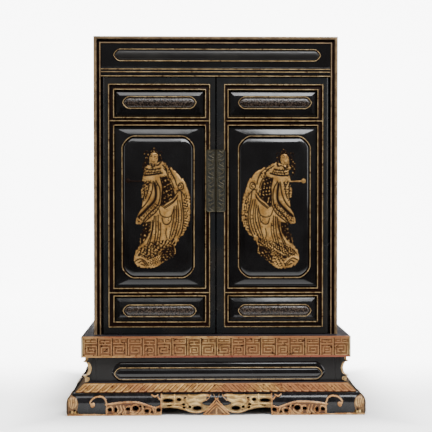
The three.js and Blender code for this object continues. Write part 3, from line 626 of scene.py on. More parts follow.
def smooth_line(points, steps=7):
    """Points along a smooth line through the points given."""
    points = [np.array(point, float) for point in points]
    padded = [2 * points[0] - points[1], *points, 2 * points[-1] - points[-2]]
    line = []
    for before, near, far, after in zip(padded, padded[1:], padded[2:], padded[3:]):
        for step in range(steps):
            t = step / steps
            line.append(0.5 * (2 * near + (far - before) * t
                               + (2 * before - 5 * near + 4 * far - after) * t * t
                               + (3 * near - before - 3 * far + after) * t ** 3))
    line.append(points[-1])
    return line


def along(line, x, z):
    """Distance from each point to a line, and where along the line it is nearest, 0 to 1."""
    nearest = np.full(x.shape, 1e9)
    share = np.zeros(x.shape)
    count = len(line) - 1
    for index in range(count):
        (ax, az), (bx, bz) = line[index], line[index + 1]
        dx, dz = bx - ax, bz - az
        part = np.clip(((x - ax) * dx + (z - az) * dz) / max(dx * dx + dz * dz, 1e-9), 0, 1)
        gap = np.hypot(x - ax - part * dx, z - az - part * dz)
        closer = gap < nearest
        nearest = np.where(closer, gap, nearest)
        share = np.where(closer, (index + part) / count, share)
    return nearest, share


def ridge(line, x, z, half, rise, taper=0.0):
    """Height of a round ridge along a line; taper narrows its ends."""
    gap, share = along(line, x, z)
    width = half * (1 - taper + taper * np.sin(np.clip(share, 0.02, 0.98) * math.pi))
    return rise * np.sqrt(np.clip(1 - (gap / width) ** 2, 0, None))


def inside(outline, x, z):
    """True for points inside a closed outline."""
    found = np.zeros(x.shape, bool)
    for (ax, az), (bx, bz) in zip(outline, outline[1:] + outline[:1]):
        if az != bz:
            crosses = (az > z) != (bz > z)
            found ^= crosses & (x < (bx - ax) * (z - az) / (bz - az) + ax)
    return found


def depth_inside(outline, x, z):
    """How far inside an outline a point is; outside is negative."""
    gap, _ = along(outline + outline[:1], x, z)
    return np.where(inside(outline, x, z), gap, -gap)


def spiral(centre, radius, turns, turned=0.0, hand=1):
    """A small scroll that winds in from its rim."""
    points = []
    count = int(10 * turns) + 2
    for step in range(count):
        share = step / (count - 1)
        angle = turned + hand * share * turns * 2 * math.pi
        reach = radius * (1 - 0.85 * share)
        points.append(np.array((centre[0] + reach * math.cos(angle), centre[1] + reach * math.sin(angle))))
    return points


def relief(name, columns, rows, place, keep, values, looks, look_of=None, walls=None, **piece):
    """A fine grid carried to its place, with values as attributes, the faces kept where asked."""
    bm = bmesh.new()
    bmesh.ops.create_grid(bm, x_segments=columns - 1, y_segments=rows - 1, size=1)
    column = [round((vert.co.x + 1) / 2 * (columns - 1)) for vert in bm.verts]
    row = [round((vert.co.y + 1) / 2 * (rows - 1)) for vert in bm.verts]
    layers = {key: bm.verts.layers.float.new(key) for key in values}
    for vert, u, v in zip(bm.verts, column, row):
        vert.co = place[v, u]
        for key, layer in layers.items():
            vert[layer] = values[key][v, u]
    where = {vert.index: (v, u) for vert, u, v in zip(bm.verts, column, row)}
    drop = []
    for face in bm.faces:
        corners = [where[vert.index] for vert in face.verts]
        if not all(keep[corner] for corner in corners):
            drop.append(face)
        elif look_of is not None:
            face.material_index = int(max(look_of[corner] for corner in corners))
    bmesh.ops.delete(bm, geom=drop, context="FACES")
    if walls:
        edges = [edge for edge in bm.edges if edge.is_boundary]
        made = bmesh.ops.extrude_edge_only(bm, edges=edges)["geom"]
        for vert in made:
            if isinstance(vert, bmesh.types.BMVert):
                vert.co = walls(vert.co)
                # The walls take the full hollow share, so they are drawn dark: painted shade on the sides of
                # cuts, cells and edges.
                for key, layer in layers.items():
                    vert[layer] = 1.0 if key == "hollow" else vert[layer]
    return make(name, bm, looks, **piece)


# The figure, drawn from its feet in millimetres, as on the left door

FACE = {1: (5.5, 183.5), -1: (-5.5, 181.5)}
CLOAK = [(8, 176), (20, 178), (28, 171), (36, 166), (44, 159), (51, 151), (58, 146), (62, 136),
         (66, 125), (67, 112), (67.5, 98), (67, 86), (65, 75), (61, 66), (57, 58), (50, 51), (44, 44),
         (41, 37), (42, 28), (40, 21), (33, 17), (26, 13), (20, 9), (15, 6), (8, 2), (-3, 1), (-13, 1),
         (-20, 3), (-26, 8), (-28.5, 16), (-26.5, 25), (-23, 32), (-19, 38), (-18, 46), (-17, 54),
         (-14, 63), (-13, 71), (-18, 73), (-24, 74), (-25, 80), (-22, 89), (-18, 98), (-13, 107),
         (-15, 116), (-16, 125), (-15, 133), (-13, 142), (-14, 149), (-12, 156), (-11, 163), (-9, 170)]
# Dark cut lines of the robe, each with its half width
CUTS = [
    # Sleeve: inner edge, dark lining, outer edge and hem
    ([(4, 145), (1.5, 127), (-6.5, 110), (-18, 97), (-22.5, 89)], 0.7),
    ([(6.5, 142), (8.6, 127), (6.5, 114), (-4, 101.5), (-20, 86)], 2.0),
    ([(8.5, 146), (15, 133), (15, 116), (10, 103), (-4, 90), (-15, 74)], 0.75),
    ([(16.5, 107), (8.6, 94), (-4, 83), (-12, 75.5)], 0.65),
    # Collar and chest
    ([(-10, 155), (1.5, 156), (18.7, 159)], 1.2), ([(-8, 160), (3, 160), (16, 162.5)], 0.5),
    ([(-8, 165), (1.5, 164), (16, 167)], 0.7), ([(6.5, 172.5), (12, 172), (16, 176)], 1.0),
    ([(-8.6, 143), (-6, 139), (-2, 143)], 0.7), ([(-12, 144.5), (-10.8, 127), (-12, 114.5)], 0.6),
    ([(-3, 141), (-5, 128), (-9, 116)], 0.5),
    # Shoulder, elbow and its scroll
    ([(20, 172), (26, 165), (27, 159)], 0.9), ([(29, 170.5), (34.5, 159), (40, 149), (43, 139)], 0.7),
    ([(32, 150), (36, 142), (39, 133)], 0.5), ([(24, 166), (28, 156), (31, 148)], 0.5),
    ([(56, 136.7), (54, 141.6), (49, 142), (45.5, 138), (46.5, 132.5), (51.5, 131), (55.5, 133.5),
      (56, 136.7)], 0.6),
    ([(47, 137.5), (50, 139.5), (53, 136), (50, 134)], 0.5),
    ([(43, 129), (47.4, 130), (53, 127.3), (57.5, 121.5)], 0.7),
    ([(15.8, 151.8), (20, 133), (18.6, 121.6), (17, 107)], 0.8),
    # Bands of the sash
    ([(44.5, 127.5), (36, 116), (20, 106)], 0.55), ([(45, 121.5), (39, 113), (21.5, 101.5)], 0.55),
    ([(44.5, 118), (36, 108.5), (23, 100)], 0.5),
    # Swags and the long folds that fall from the sash
    ([(13.6, 98.6), (17, 88.6), (26, 85), (34.5, 88.6), (39, 101.5)], 0.55),
    ([(18.6, 84), (21.5, 75), (28.7, 73.5), (34, 80), (35, 87)], 0.55),
    ([(39, 103), (38, 84), (31, 50)], 0.65), ([(42.4, 104.5), (42.4, 80), (34.5, 52.6)], 0.55),
    ([(45, 113), (46.7, 84), (43, 64), (36, 44)], 0.65),
    ([(49, 112.8), (52.5, 90), (50, 70), (44.5, 55.5)], 0.65),
    ([(51.7, 127.4), (54, 106), (56, 84), (52.5, 62.7), (46, 48.3)], 0.8),
    ([(6, 87), (3.6, 67), (-1.5, 44), (-8.6, 28)], 0.65), ([(8.6, 87), (8, 58.4), (4.3, 34)], 0.6),
    ([(12.2, 88.6), (12.2, 58.4), (8, 37)], 0.6), ([(3, 80), (1.5, 61), (-5.7, 41)], 0.55),
    ([(16, 76), (16.5, 60), (14, 47)], 0.45), ([(26, 66), (25, 58), (27, 50)], 0.45),
    # Hem and the turned shoe
    ([(-25.8, 12.4), (-17.2, 16), (-8.6, 11), (-5.7, 5.2)], 0.6),
    ([(-20, 9.5), (-14.4, 12.4), (-8.6, 6.7)], 0.6),
    ([(-16, 7), (-10, 5)], 0.6),
]
# Speckled areas: outline, how much of the gilding is gone and how coarse the specks are
WORN = [
    ([(15, 152), (27, 155), (34, 144), (40, 128), (42, 121), (31, 112), (20, 102), (15, 104), (16.5, 121),
      (18, 135)], 0.7, 3.0),
    ([(57.5, 127), (64, 122), (66, 98), (66, 80), (59, 61), (52, 54), (47, 48), (53, 64),
      (57.5, 84), (54.5, 105)], 0.45, 2.4),
    ([(20, 34), (38.8, 38), (41.6, 26.8), (38.8, 18), (26, 13), (16, 8), (16, 21)], 0.7, 2.6),
    ([(-16.5, 75.6), (1.5, 80), (0, 61), (-7, 48), (-18.7, 35), (-17, 54)], 0.72, 3.2),
    ([(-3, 44), (39, 51), (43, 41), (39, 30), (20, 27), (1.5, 15), (-26, 21), (-18.7, 34)], 0.5, 2.4),
    ([(-24, 26), (0, 22), (18, 28), (18, 10), (6, 4), (-10, 3), (-4, 12), (-14, 19)], 0.4, 2.0),
    ([(16, 106), (6, 91), (-11, 78.5), (-23, 75.6), (-21.5, 86), (-4, 100), (7, 113)], 0.4, 2.2),
    ([(-12, 152), (18, 158), (17, 166), (-10, 170)], 0.35, 2.6),
    ([(-15, 146), (1, 147), (-2, 127), (-9, 112), (-17, 110)], 0.4, 2.4),
    ([(28, 86), (52, 92), (52, 62), (44, 50), (30, 56)], 0.16, 2.6),
    ([(2, 90), (16, 92), (15, 50), (-4, 40)], 0.14, 2.6),
    ([(22, 176), (30, 170), (40, 150), (33, 146), (26, 158), (19, 166)], 0.3, 2.6),
]
# Raised edges that catch the light
CRESTS = [
    ([(2, 146), (-1, 128), (-9, 111), (-20, 98)], 1.3, 0.5),
    ([(12.5, 143), (12, 118), (4, 103), (-12, 84)], 2.6, 0.5),
    ([(24, 177), (36, 164), (47, 152), (60, 140)], 2.6, 0.5), ([(-24, 15), (-14, 18), (-4, 11)], 1.5, 0.7),
    ([(41, 101), (40.5, 80), (34, 52)], 1.2, 0.4), ([(47, 108), (49.5, 85), (44, 60)], 1.6, 0.4),
    ([(10.5, 84), (10, 60), (6, 36)], 1.2, 0.4), ([(4.8, 80), (4, 62), (-1, 40)], 1.0, 0.4),
]


def grooved(points, x, z, half):
    """How deep a soft cut along a line is, 0 to 1."""
    gap, _ = along(smooth_line(points, 5), x, z)
    return np.exp(-(gap / half) ** 2)


def ripples(x, z, size, seed):
    """Smooth random ripples between -1 and 1 with features about size across."""
    dice = np.random.default_rng(seed)
    total = np.zeros(x.shape)
    for _ in range(9):
        angle, phase, scale = dice.uniform(0, math.pi), dice.uniform(0, 6.3), dice.uniform(0.7, 1.5)
        total += np.sin((x * math.cos(angle) + z * math.sin(angle)) * 3.14 / size * scale + phase)
    return total / 4


def figure(prefix, side):
    """A robed figure with a tablet and a small winged hat, carved in low relief."""
    left, right, low, high, fine = -46.0, 72.0, -3.0, 205.0, 0.62
    columns, rows = int((right - left) / fine) + 1, int((high - low) / fine) + 1
    plain_x, plain_z = np.meshgrid(np.linspace(left, right, columns), np.linspace(low, high, rows))
    face_x, face_z = FACE[side]
    # The two figures bend a little differently, and the cloak follows the head
    bend = 0.0 if side > 0 else 1.0
    x = plain_x + bend * (1.6 * np.sin(plain_z / 17) + 1.0) + 2.2 * np.clip((plain_x - 44) / 16, 0, 1)
    x = x + np.clip((plain_z - 160) / 16, 0, 1) * (FACE[1][0] - face_x) * bend
    z = plain_z + bend * 1.4 * np.sin(plain_x / 11 + 1)
    cloak = [tuple(point) for point in smooth_line(CLOAK + CLOAK[:1], 3)[:-1]]
    depth = depth_inside(cloak, x, z) + ripples(x, z, 3.4, 3) * 1.0
    body = 1.5 * np.sqrt(np.clip(1 - (1 - np.clip((depth + 0.6) / 6, 0, 1)) ** 2, 0, None)) - 0.5
    body = np.where(depth > -1.0, body, -0.8)
    cut = np.zeros(x.shape)
    for points, half in CUTS:
        cut = np.maximum(cut, grooved(points, x, z, half * 1.35 + 0.45))
    crest = np.zeros(x.shape)
    for points, half, rise in CRESTS:
        crest = np.maximum(crest, rise * grooved(points, x, z, half))
    worn = np.zeros(x.shape)
    for index, (outline, share, size) in enumerate(WORN):
        reach = np.clip(depth_inside(outline, x, z) / 2.5 + 0.5, 0, 1)
        specks = ripples(x, z, size, 20 + index + 3 * side) + 0.6 * ripples(x, z, size * 0.55, 40 + index)
        worn = np.maximum(worn, reach * np.clip((specks + (share - 0.38) * 3.0) * 1.5 + 0.5, 0, 1))
    lace = np.clip(1 - (depth - 2.2) / 1.3, 0, 1) * (x > 40) * (np.sin(z * 1.6) > -0.3)
    fine_wear = np.clip((ripples(x, z, 1.7, 60 + side) - 0.55) * 1.4, 0, 0.5)
    hollow = np.maximum(np.maximum(cut * 1.2, worn), fine_wear)
    hollow = np.maximum(hollow, np.clip(1.2 - (depth + 0.3) / 1.4, 0, 1) * 0.9)
    hollow = np.clip(hollow - lace * 0.5 * (depth > 0.6), 0, 1)
    height = np.where(depth > -0.9, body + crest - 0.55 * cut - 0.45 * worn, body)

    head = np.clip(1 - ((plain_x - face_x) / 8.0) ** 2 - ((plain_z - face_z) / 10.5) ** 2, 0, None)
    face = 2.3 * np.sqrt(head) - 0.1
    near, tall = plain_x - face_x, plain_z - face_z
    marks = np.zeros(x.shape)
    for points, half, rise in (
        ([(-1.2, 4.5), (-1.8, 0.5), (-2.8, -1.5), (-0.5, -1.9)], 0.9, 0.45),
        ([(-5, -5), (-1.8, -3.6), (1.6, -5)], 0.8, 0.3),
    ):
        marks = np.maximum(marks, ridge(smooth_line(points, 5), near, tall, half, rise))
    dark = np.zeros(x.shape)
    for points, half in (
        ([(4, 5.4), (1.8, 6.2), (0, 5.2)], 0.6), ([(-3.4, 5.2), (-5.2, 6), (-6.4, 4.8)], 0.55),
        ([(3.4, 3), (0.6, 2.9)], 0.7), ([(-3.4, 2.9), (-5.8, 2.8)], 0.65), ([(0.8, -5.9), (-3.6, -5.9)], 0.6),
        ([(6.4, 4), (7.2, -1), (5.2, -7)], 0.8), ([(-7, 9), (0, 10.4), (7, 8.4)], 1.1),
        ([(1.5, -9), (0, -14)], 0.8), ([(-2, -9), (-2.4, -15)], 0.8), ([(-4.6, -8), (-4.4, -13)], 0.7),
    ):
        dark = np.maximum(dark, grooved(points, near, tall, half))
    beard = grooved([(4.4, -6.5), (1.5, -11), (-2.4, -14.5), (-5.4, -9.5), (-6.6, -6)], near, tall, 1.9)
    face = np.where(head > 0, face + marks - 0.35 * dark, np.where(beard > 0.35, 0.8 + beard, -0.8))
    specks = ripples(plain_x, plain_z, 2.6, 7 + side) + 0.5 * ripples(plain_x, plain_z, 1.4, 9 + side)
    hat = np.full(x.shape, -0.8)
    for points, half, rise in (
        ([(-6, 9.6), (0, 11.6), (6, 9)], 2.6, 0.9), ([(-3, 13), (1, 15), (4, 12)], 2.6, 0.9),
        ([(8, 7), (11, 2), (12, -5), (15, -10)], 2.2, 0.5),
        ([(-9, 8), (-12, 2), (-13, -8), (-11, -16)], 2.8, 0.4),
        ([(-9, 11), (-14, 11), (-17, 6)], 1.6, 0.3), ([(8, 11), (12, 11), (14, 7)], 1.4, 0.3),
        ([(-13, -3), (-17, -10), (-16, -20), (-13, -27)], 2.6, 0.3),
    ):
        raised = ridge(smooth_line(points, 5), near, tall, half, rise, 0.4)
        hat = np.where(raised > 0.08, np.maximum(hat, raised + 0.3 * specks), hat)
    tablet = ridge([(-14, 145), (-34, 145.5)], plain_x, plain_z, 1.4, 0.8)
    hand = np.clip(1 - np.hypot(plain_x + 37.5, plain_z - 146) / 4, 0, None)
    tablet = np.maximum(tablet, 1.8 * np.sqrt(hand))
    tablet = np.where(tablet > 0, tablet - 0.1, -0.8)
    hat_shade = np.clip(1.0 - np.clip(specks - 0.85, 0, 1) * 1.6, 0.3, 1.0)
    hollow = np.where(hat >= np.maximum(height, face), hat_shade, hollow)
    face_shade = np.clip(0.12 + dark + np.clip(0.5 - head * 1.6, 0, 1) + np.clip(specks * 0.5, 0, 0.45), 0, 1)
    hollow = np.where((face > height) & (face >= hat), face_shade, hollow)
    hollow = np.where(tablet > np.maximum(height, hat), 1.0 if side > 0 else 0.5, hollow)
    height = np.minimum(np.maximum.reduce([height, face, hat, tablet]), 3.1)
    keep = height > -0.7
    wider = keep.copy()
    for shift in ((0, 1), (0, -1), (1, 0), (-1, 0), (1, 1), (-1, -1), (1, -1), (-1, 1)):
        wider |= np.roll(keep, shift, (0, 1))
    ground = DOOR_FRONT - 3.0
    place = np.stack([plain_x + FIGURE_AT[0], ground - height, plain_z + FIGURE_AT[1]], axis=-1)
    relief(f"{prefix}_figure", columns, rows, place, wider, {"hollow": hollow}, [FIGURE_GILT],
           body=f"{prefix}_door", slot="gilt_carving", side=side, angle=75)


def lock_plate(prefix, side):
    """A bronze plate with cusped corners, a border and engraved scrolls."""
    left, right, fine = DOOR_RIGHT - PLATE_WIDTH, DOOR_RIGHT, 0.5
    middle = (DOOR_LOW + DOOR_HIGH) / 2 + PLATE_ABOVE_MIDDLE
    low, high = middle - PLATE_HALF_HEIGHT, middle + PLATE_HALF_HEIGHT
    columns, rows = int((right - left) / fine) + 1, int((high - low) / fine) + 1
    x, z = np.meshgrid(np.linspace(left, right, columns), np.linspace(low, high, rows))
    centre = (left + right) / 2
    outline = [(left, low + 3), (left + 2.4, low), (right, low), (right, high), (left + 2.4, high),
               (left, high - 3)]
    rim = depth_inside(outline, x, z)
    detail = np.where(rim < 1.5, 0.5, 0.0)
    for step in range(7):
        z0 = low + 8 + step * 14.6
        hand = 1 if step % 2 else -1
        stem = smooth_line([(centre - hand * 4.5, z0 - 6), (centre + hand * 4, z0),
                            (centre - hand * 4.5, z0 + 7)], 8)
        detail = np.maximum(detail, ridge(stem, x, z, 0.8, 0.45))
        detail = np.maximum(detail, ridge(
            spiral((centre + hand * 2.6, z0 + 4.4), 2.8, 1.2, step, hand), x, z, 0.7, 0.45))
        detail = np.maximum(detail, ridge(
            spiral((centre - hand * 3.4, z0 - 1.5), 2.2, 1.1, -step, -hand), x, z, 0.6, 0.4))
    back = DOOR_FRONT - LINE_RISE - 0.3
    y = back - 0.9 - detail
    keep = rim > -0.3
    place = np.stack([x, y, z], axis=-1)
    hollow = np.clip(1 - detail / 0.4, 0, 1)
    relief(f"{prefix}_bronze_plate", columns, rows, place, keep, {"hollow": hollow}, [BRONZE],
           walls=lambda co: Vector((co.x, back, co.z)), body=f"{prefix}_door",
           stands_for=(f"{prefix}_lock_plate",), slot="bronze", side=side, angle=50)


def build_doors():
    for prefix, side in (("left", 1), ("right", -1)):
        door_frame(prefix, side)
        small_panel(prefix, side, "upper")
        small_panel(prefix, side, "lower")
        main_panel(prefix, side)
        figure(prefix, side)
        lock_plate(prefix, side)


# Stand

def quarter_turns(verts, turns):
    """Turns new work from the front to another side."""
    turn = Matrix.Rotation(turns * math.pi / 2, 4, "Z")
    for vert in verts:
        vert.co = turn @ vert.co


def turned_grid(x, y, z, turns):
    """Points of a grid, turned from the front to another side."""
    sine, cosine = math.sin(turns * math.pi / 2), math.cos(turns * math.pi / 2)
    return np.stack([x * cosine - y * sine, x * sine + y * cosine, z], axis=-1)


# Key patterns on a lattice eight lines wide and nine high, as bars from point to point
KEY_PATTERNS = (
    [((0, 0), (7, 0)), ((7, 0), (7, 4.6)), ((1.5, 4.6), (7, 4.6)), ((1.5, 1.5), (1.5, 4.6)),
     ((1.5, 1.5), (5.5, 1.5)), ((5.5, 1.5), (5.5, 3.1)), ((3.2, 3.1), (5.5, 3.1)), ((0, 0), (0, 8.4)),
     ((0, 6.1), (7, 6.1)), ((0, 8.4), (7, 8.4)), ((1.5, 7.2), (3, 7.2)), ((4.4, 7.2), (7, 7.2)),
     ((7, 6.1), (7, 8.4))],
    [((0, 0), (7, 0)), ((0, 0), (0, 4.6)), ((0, 4.6), (5.5, 4.6)), ((7, 0), (7, 6.1)),
     ((1.5, 1.5), (5.5, 1.5)),
     ((5.5, 1.5), (5.5, 4.6)), ((1.5, 1.5), (1.5, 3.1)), ((1.5, 3.1), (4, 3.1)), ((0, 6.1), (7, 6.1)),
     ((0, 8.4), (7, 8.4)), ((3.5, 6.1), (3.5, 8.4)), ((1.2, 7.2), (2.2, 7.2)), ((4.8, 7.2), (6, 7.2))],
    [((0, 0), (0, 8.4)), ((7, 0), (7, 8.4)), ((0, 8.4), (7, 8.4)), ((1.5, 6.9), (5.5, 6.9)),
     ((3.5, 5.4), (3.5, 6.9)),
     ((0, 5.4), (7, 5.4)), ((1.5, 0), (5.5, 0)), ((1.5, 1.4), (1.5, 3.9)), ((1.5, 3.9), (5.5, 3.9)),
     ((5.5, 1.4), (5.5, 3.9)), ((3, 1.4), (5.5, 1.4)), ((3, 2.6), (4.2, 2.6))],
)


DECK_LOOKS = [DUST_AND_SHEEN, FRET_BASE, FRET_GILT, RIM_GILT, FRET_JOINT, LOW_RIM_GILT, END_GILT, PLAIN]
DECK_TOP_SLOT, SUNK, BARS, RIMS, JOINTS, LOW_RIM, ENDS, BACK_STRIP = range(8)


def build_deck():
    """The deck: dull black top, gilt rims and a key fret carved on the front and the sides."""
    bm = bmesh.new()
    block(bm, -DECK_HALF_X + 2, DECK_HALF_X - 2, -DECK_HALF_Y + 2, DECK_HALF_Y - 2, DECK_LOW + 0.4,
          DECK_TOP - 0.4, 0.3, look=SUNK)
    block(bm, -DECK_HALF_X + RIM, DECK_HALF_X - RIM, DECK_HALF_Y - 2, DECK_HALF_Y, DECK_LOW + 0.2,
          DECK_TOP - 0.4, 0.3, look=BACK_STRIP)
    block(bm, -DECK_HALF_X + 0.6, DECK_HALF_X - 0.6, -DECK_HALF_Y + 1.2, DECK_HALF_Y - 0.2,
          DECK_TOP - 0.5, DECK_TOP, 0.2, look=DECK_TOP_SLOT)
    for low, high, look in ((DECK_LOW, DECK_LOW + RIM, LOW_RIM), (DECK_TOP - RIM, DECK_TOP - 0.1, RIMS)):
        block(bm, -DECK_HALF_X, DECK_HALF_X, -DECK_HALF_Y, -DECK_HALF_Y + RIM, low, high, 0.7, look)
        for side in (1, -1):
            edges = sorted((side * DECK_HALF_X, side * (DECK_HALF_X - RIM)))
            block(bm, *edges, -DECK_HALF_Y, DECK_HALF_Y, low, high - 0.4, 0.7, look=RIMS)
    for side in (1, -1):
        edges = sorted((side * DECK_HALF_X, side * (DECK_HALF_X - RIM)))
        for y in (-DECK_HALF_Y, DECK_HALF_Y - RIM):
            block(bm, *edges, y, y + RIM, DECK_LOW, DECK_TOP - 0.1, 0.7, look=ENDS)
    low, high = DECK_LOW + RIM + 0.9, DECK_TOP - RIM - 0.9
    half_bar = 0.8
    for half, reach, turns in ((DECK_HALF_X - RIM, DECK_HALF_Y, 0),
                               (DECK_HALF_Y - RIM, DECK_HALF_X, 1), (DECK_HALF_Y - RIM, DECK_HALF_X, -1)):
        count = round(2 * half / KEY_PITCH)
        pitch = 2 * half / count
        for index in range(count):
            left = -half + index * pitch + 1.9
            across, upward = (pitch - 3.8) / 7, (high - low) / 8.4
            for (u0, v0), (u1, v1) in KEY_PATTERNS[index * 5 % 3]:
                verts = block(bm, left + u0 * across - half_bar, left + u1 * across + half_bar,
                              -reach + 0.7, -reach + 2.6, low + min(v0, v1) * upward - half_bar,
                              low + max(v0, v1) * upward + half_bar, 0.3, look=BARS, segments=1)
                quarter_turns(verts, turns)
            verts = block(bm, left - 2.2, left - 1.5, -reach + 1.5, -reach + 2.6, low - 0.9,
                          high + 0.9, look=JOINTS)
            quarter_turns(verts, turns)
    make("deck", bm, DECK_LOOKS, stands_for=("fret_deck",), slot="fret_gilding")


# Hollow of a corner post: how far it stands back from its tips at each height
POST_LEVELS = ((50.3, 3.0), (57.5, 3.0), (59.2, 2.2), (60.7, 0.0), (61.6, 0.6), (62.6, 4.6), (65, 6.2),
               (68, 7.3), (72, 8.0), (76, 7.3), (79.5, 6.2), (82.6, 4.6), (84.0, 0.8), (85.1, 0.0),
               (86.4, 2.4), (87.8, 3.0), (91.4, 3.0))


def curl(bm, centre, radius, y, hand, look):
    """A small carved scroll that stands on the plane y."""
    for step in range(14):
        turn = hand * step / 13 * 1.7 * math.pi + math.pi / 2
        reach = radius * (1 - step / 22)
        x, z = centre[0] + reach * math.cos(turn), centre[1] + reach * math.sin(turn)
        place = Matrix.Translation((x, y, z)) @ Matrix.Diagonal((1.1, 0.8, 1.1, 1))
        made = bmesh.ops.create_icosphere(bm, subdivisions=1, radius=1.15 - step / 30, matrix=place)
        for face in {face for vert in made["verts"] for face in vert.link_faces}:
            face.material_index = look


def build_posts():
    """The hollow corner posts, gilt on their outer strips and scrolled at the foot."""
    bm = bmesh.new()
    for side_x, edge in ((1, 3.6), (-1, 5.4)):
        for side_y in (1, -1):
            rings = []
            for z, back in POST_LEVELS:
                x, y = POST_X - back, POST_Y - back
                inner_x, inner_y = POST_X - POST_SIZE, POST_Y - POST_SIZE
                ring = [(inner_x, POST_Y - HOLLOW), (POST_X - HOLLOW - edge, POST_Y - HOLLOW),
                        (x - edge, y), (x - 0.5, y), (x, y - 0.5), (x, y - edge),
                        (POST_X - HOLLOW, POST_Y - HOLLOW - edge), (POST_X - HOLLOW, inner_y),
                        (inner_x, inner_y)]
                rings.append([(side_x * px, side_y * py, z) for px, py in ring])
            loft(bm, rings, lambda span, step: 1 if 2 <= step <= 4 else 0, ends=(True, True))
    for side_x in (1, -1):
        for turns, half, reach in ((0, POST_X, POST_Y), (1, POST_Y, POST_X), (-1, POST_Y, POST_X)):
            before = set(bm.verts)
            curl(bm, (side_x * (half - 7.6), 55.0), 2.6, -reach + 2.6, side_x, 1)
            quarter_turns([vert for vert in bm.verts if vert not in before], turns)
    make("corner_posts", bm, [DULL, POST_GILT], slot="gilt_carving",
         stands_for=("front_left_post", "front_right_post", "back_left_post", "back_right_post"))


def build_waist():
    """Waist boards with a round-ended raised field and a capsule on it."""
    rise = 2.6
    for name, node, reach, run, shift, turns in (
        ("waist_front_field", "waist_front", POST_Y - HOLLOW, POST_X - POST_SIZE - 0.3, 4.2, 0),
        ("waist_right_field", "waist_right", POST_X - HOLLOW, POST_Y - POST_SIZE - 0.3, 0, 1),
        ("waist_left_field", "waist_left", POST_X - HOLLOW, POST_Y - POST_SIZE - 0.3, 0, -1),
    ):
        bm = bmesh.new()
        block(bm, -run, run, -reach, -reach + POST_SIZE - HOLLOW, WAIST_LOW, WAIST_HIGH, look=3)
        left, right = -run + 26 + shift, run - 26 + shift
        field = []
        for drawn_in, height in ((0, 0), (0.3, 0.5), (0.7, 0.85), (2.9, 2.07), (3.4, 2.3), (4.2, 2.5),
                                 (5.0, rise)):
            low, high = 50.4 + drawn_in * 0.5, 82.6 - drawn_in
            field.append(rounded(left - 5 + drawn_in, right + 5 - drawn_in, low, high, -reach - height,
                                 (high - low) / 2, 8))
        loft(bm, field, 0, ends=(False, True))
        capsule(bm, (left, right, 53.2, 74.0), -reach - rise, 1.4, LACQUER)
        quarter_turns(bm.verts, turns)
        make(name, bm, [*CABINET_LOOKS[:3], DULL], stands_for=(node,))


def build_tread():
    """The tread board: a dusty black top over a sloping edge of leaning gilt leaves."""
    half_x = STAND_HALF_X - APRON_LEAN - TREAD_SET_BACK
    half_y = STAND_HALF_Y - APRON_LEAN - TREAD_SET_BACK
    bm = bmesh.new()
    rings = []
    for inset, z in ((1.4, TREAD_LOW), (1.4, TREAD_LOW + 0.3), (SLOPE, TREAD_TOP - 3.2),
                     (SLOPE + 0.2, TREAD_TOP - 1.4), (SLOPE + 1.4, TREAD_TOP)):
        rings.append([(half_x - inset, -half_y + inset, z), (half_x - inset, half_y - inset, z),
                      (-half_x + inset, half_y - inset, z), (-half_x + inset, -half_y + inset, z)])
    loft(bm, rings, 0, ends=(True, True))
    make("tread", bm, [DUST_AND_SHEEN], stands_for=("tread_board",), slot="black_lacquer")
    for name, half, reach, turns in (("front_lappets", half_x, half_y, 0),
                                     ("right_lappets", half_y, half_x, 1),
                                     ("left_lappets", half_y, half_x, -1)):
        build_lappets(name, half, reach, turns)


def build_lappets(name, half, reach, turns):
    """Leaves carved on one sloping edge, their tips leaning toward the middle."""
    columns, rows = int(2 * half) + 1, 19
    x, share = np.meshgrid(np.linspace(-half, half, columns), np.linspace(0, 1, rows))
    inset = SLOPE * share
    place_in_leaf = (np.abs(x) + LEAF_LEAN * share) / LEAF_WIDTH
    u = place_in_leaf - np.floor(place_in_leaf) - 0.5
    odd = np.sin(np.floor(place_in_leaf) * 2.4)
    tip = np.sqrt(np.clip(1 - np.clip((0.2 - share) / 0.2, 0, 1) ** 2, 0.02, 1))
    leaf = np.sqrt(np.clip(1 - (u / (0.47 * tip)) ** 2, 0, None))
    within = np.clip((share - 0.12) / 0.1, 0, 1) * np.clip((0.86 - share) / 0.08, 0, 1)
    cut = np.exp(-((u + 0.06) / (0.09 + 0.03 * odd)) ** 2) * within
    cut = np.maximum(cut, 0.7 * np.exp(-((u - 0.2) / 0.06) ** 2) * within * (share < 0.6 + 0.2 * odd))
    rim = np.clip((share - 0.9) / 0.04, 0, 1)
    rise = np.maximum(leaf - 0.5 * cut, 0.75 * rim)
    # Bole between the leaves and in their cuts: the cuts are real strokes, the darkening toward each leaf's
    # edges is painted shade.
    hollow = np.clip(np.maximum(1 - leaf * 1.5, 0.85 * cut) * (1 - rim), 0, 1)
    tall = TREAD_TOP - 1.9 - TREAD_LOW
    length = math.hypot(SLOPE, tall)
    y = -reach + inset - rise * tall / length
    z = np.minimum(TREAD_LOW + tall * share + rise * SLOPE / length, TREAD_TOP - 1.2)
    place = turned_grid(np.clip(x, inset - half, half - inset), y, z, turns)
    turn = turns * math.pi / 2
    inward = Vector((-math.sin(turn), math.cos(turn), 0)) * 2.4
    relief(name, columns, rows, place, np.ones(x.shape, bool), {"hollow": hollow},
           [SIDE_GILT if turns else LAPPET_GILT], walls=lambda co: co + inward, slot="gilt_carving", angle=60)


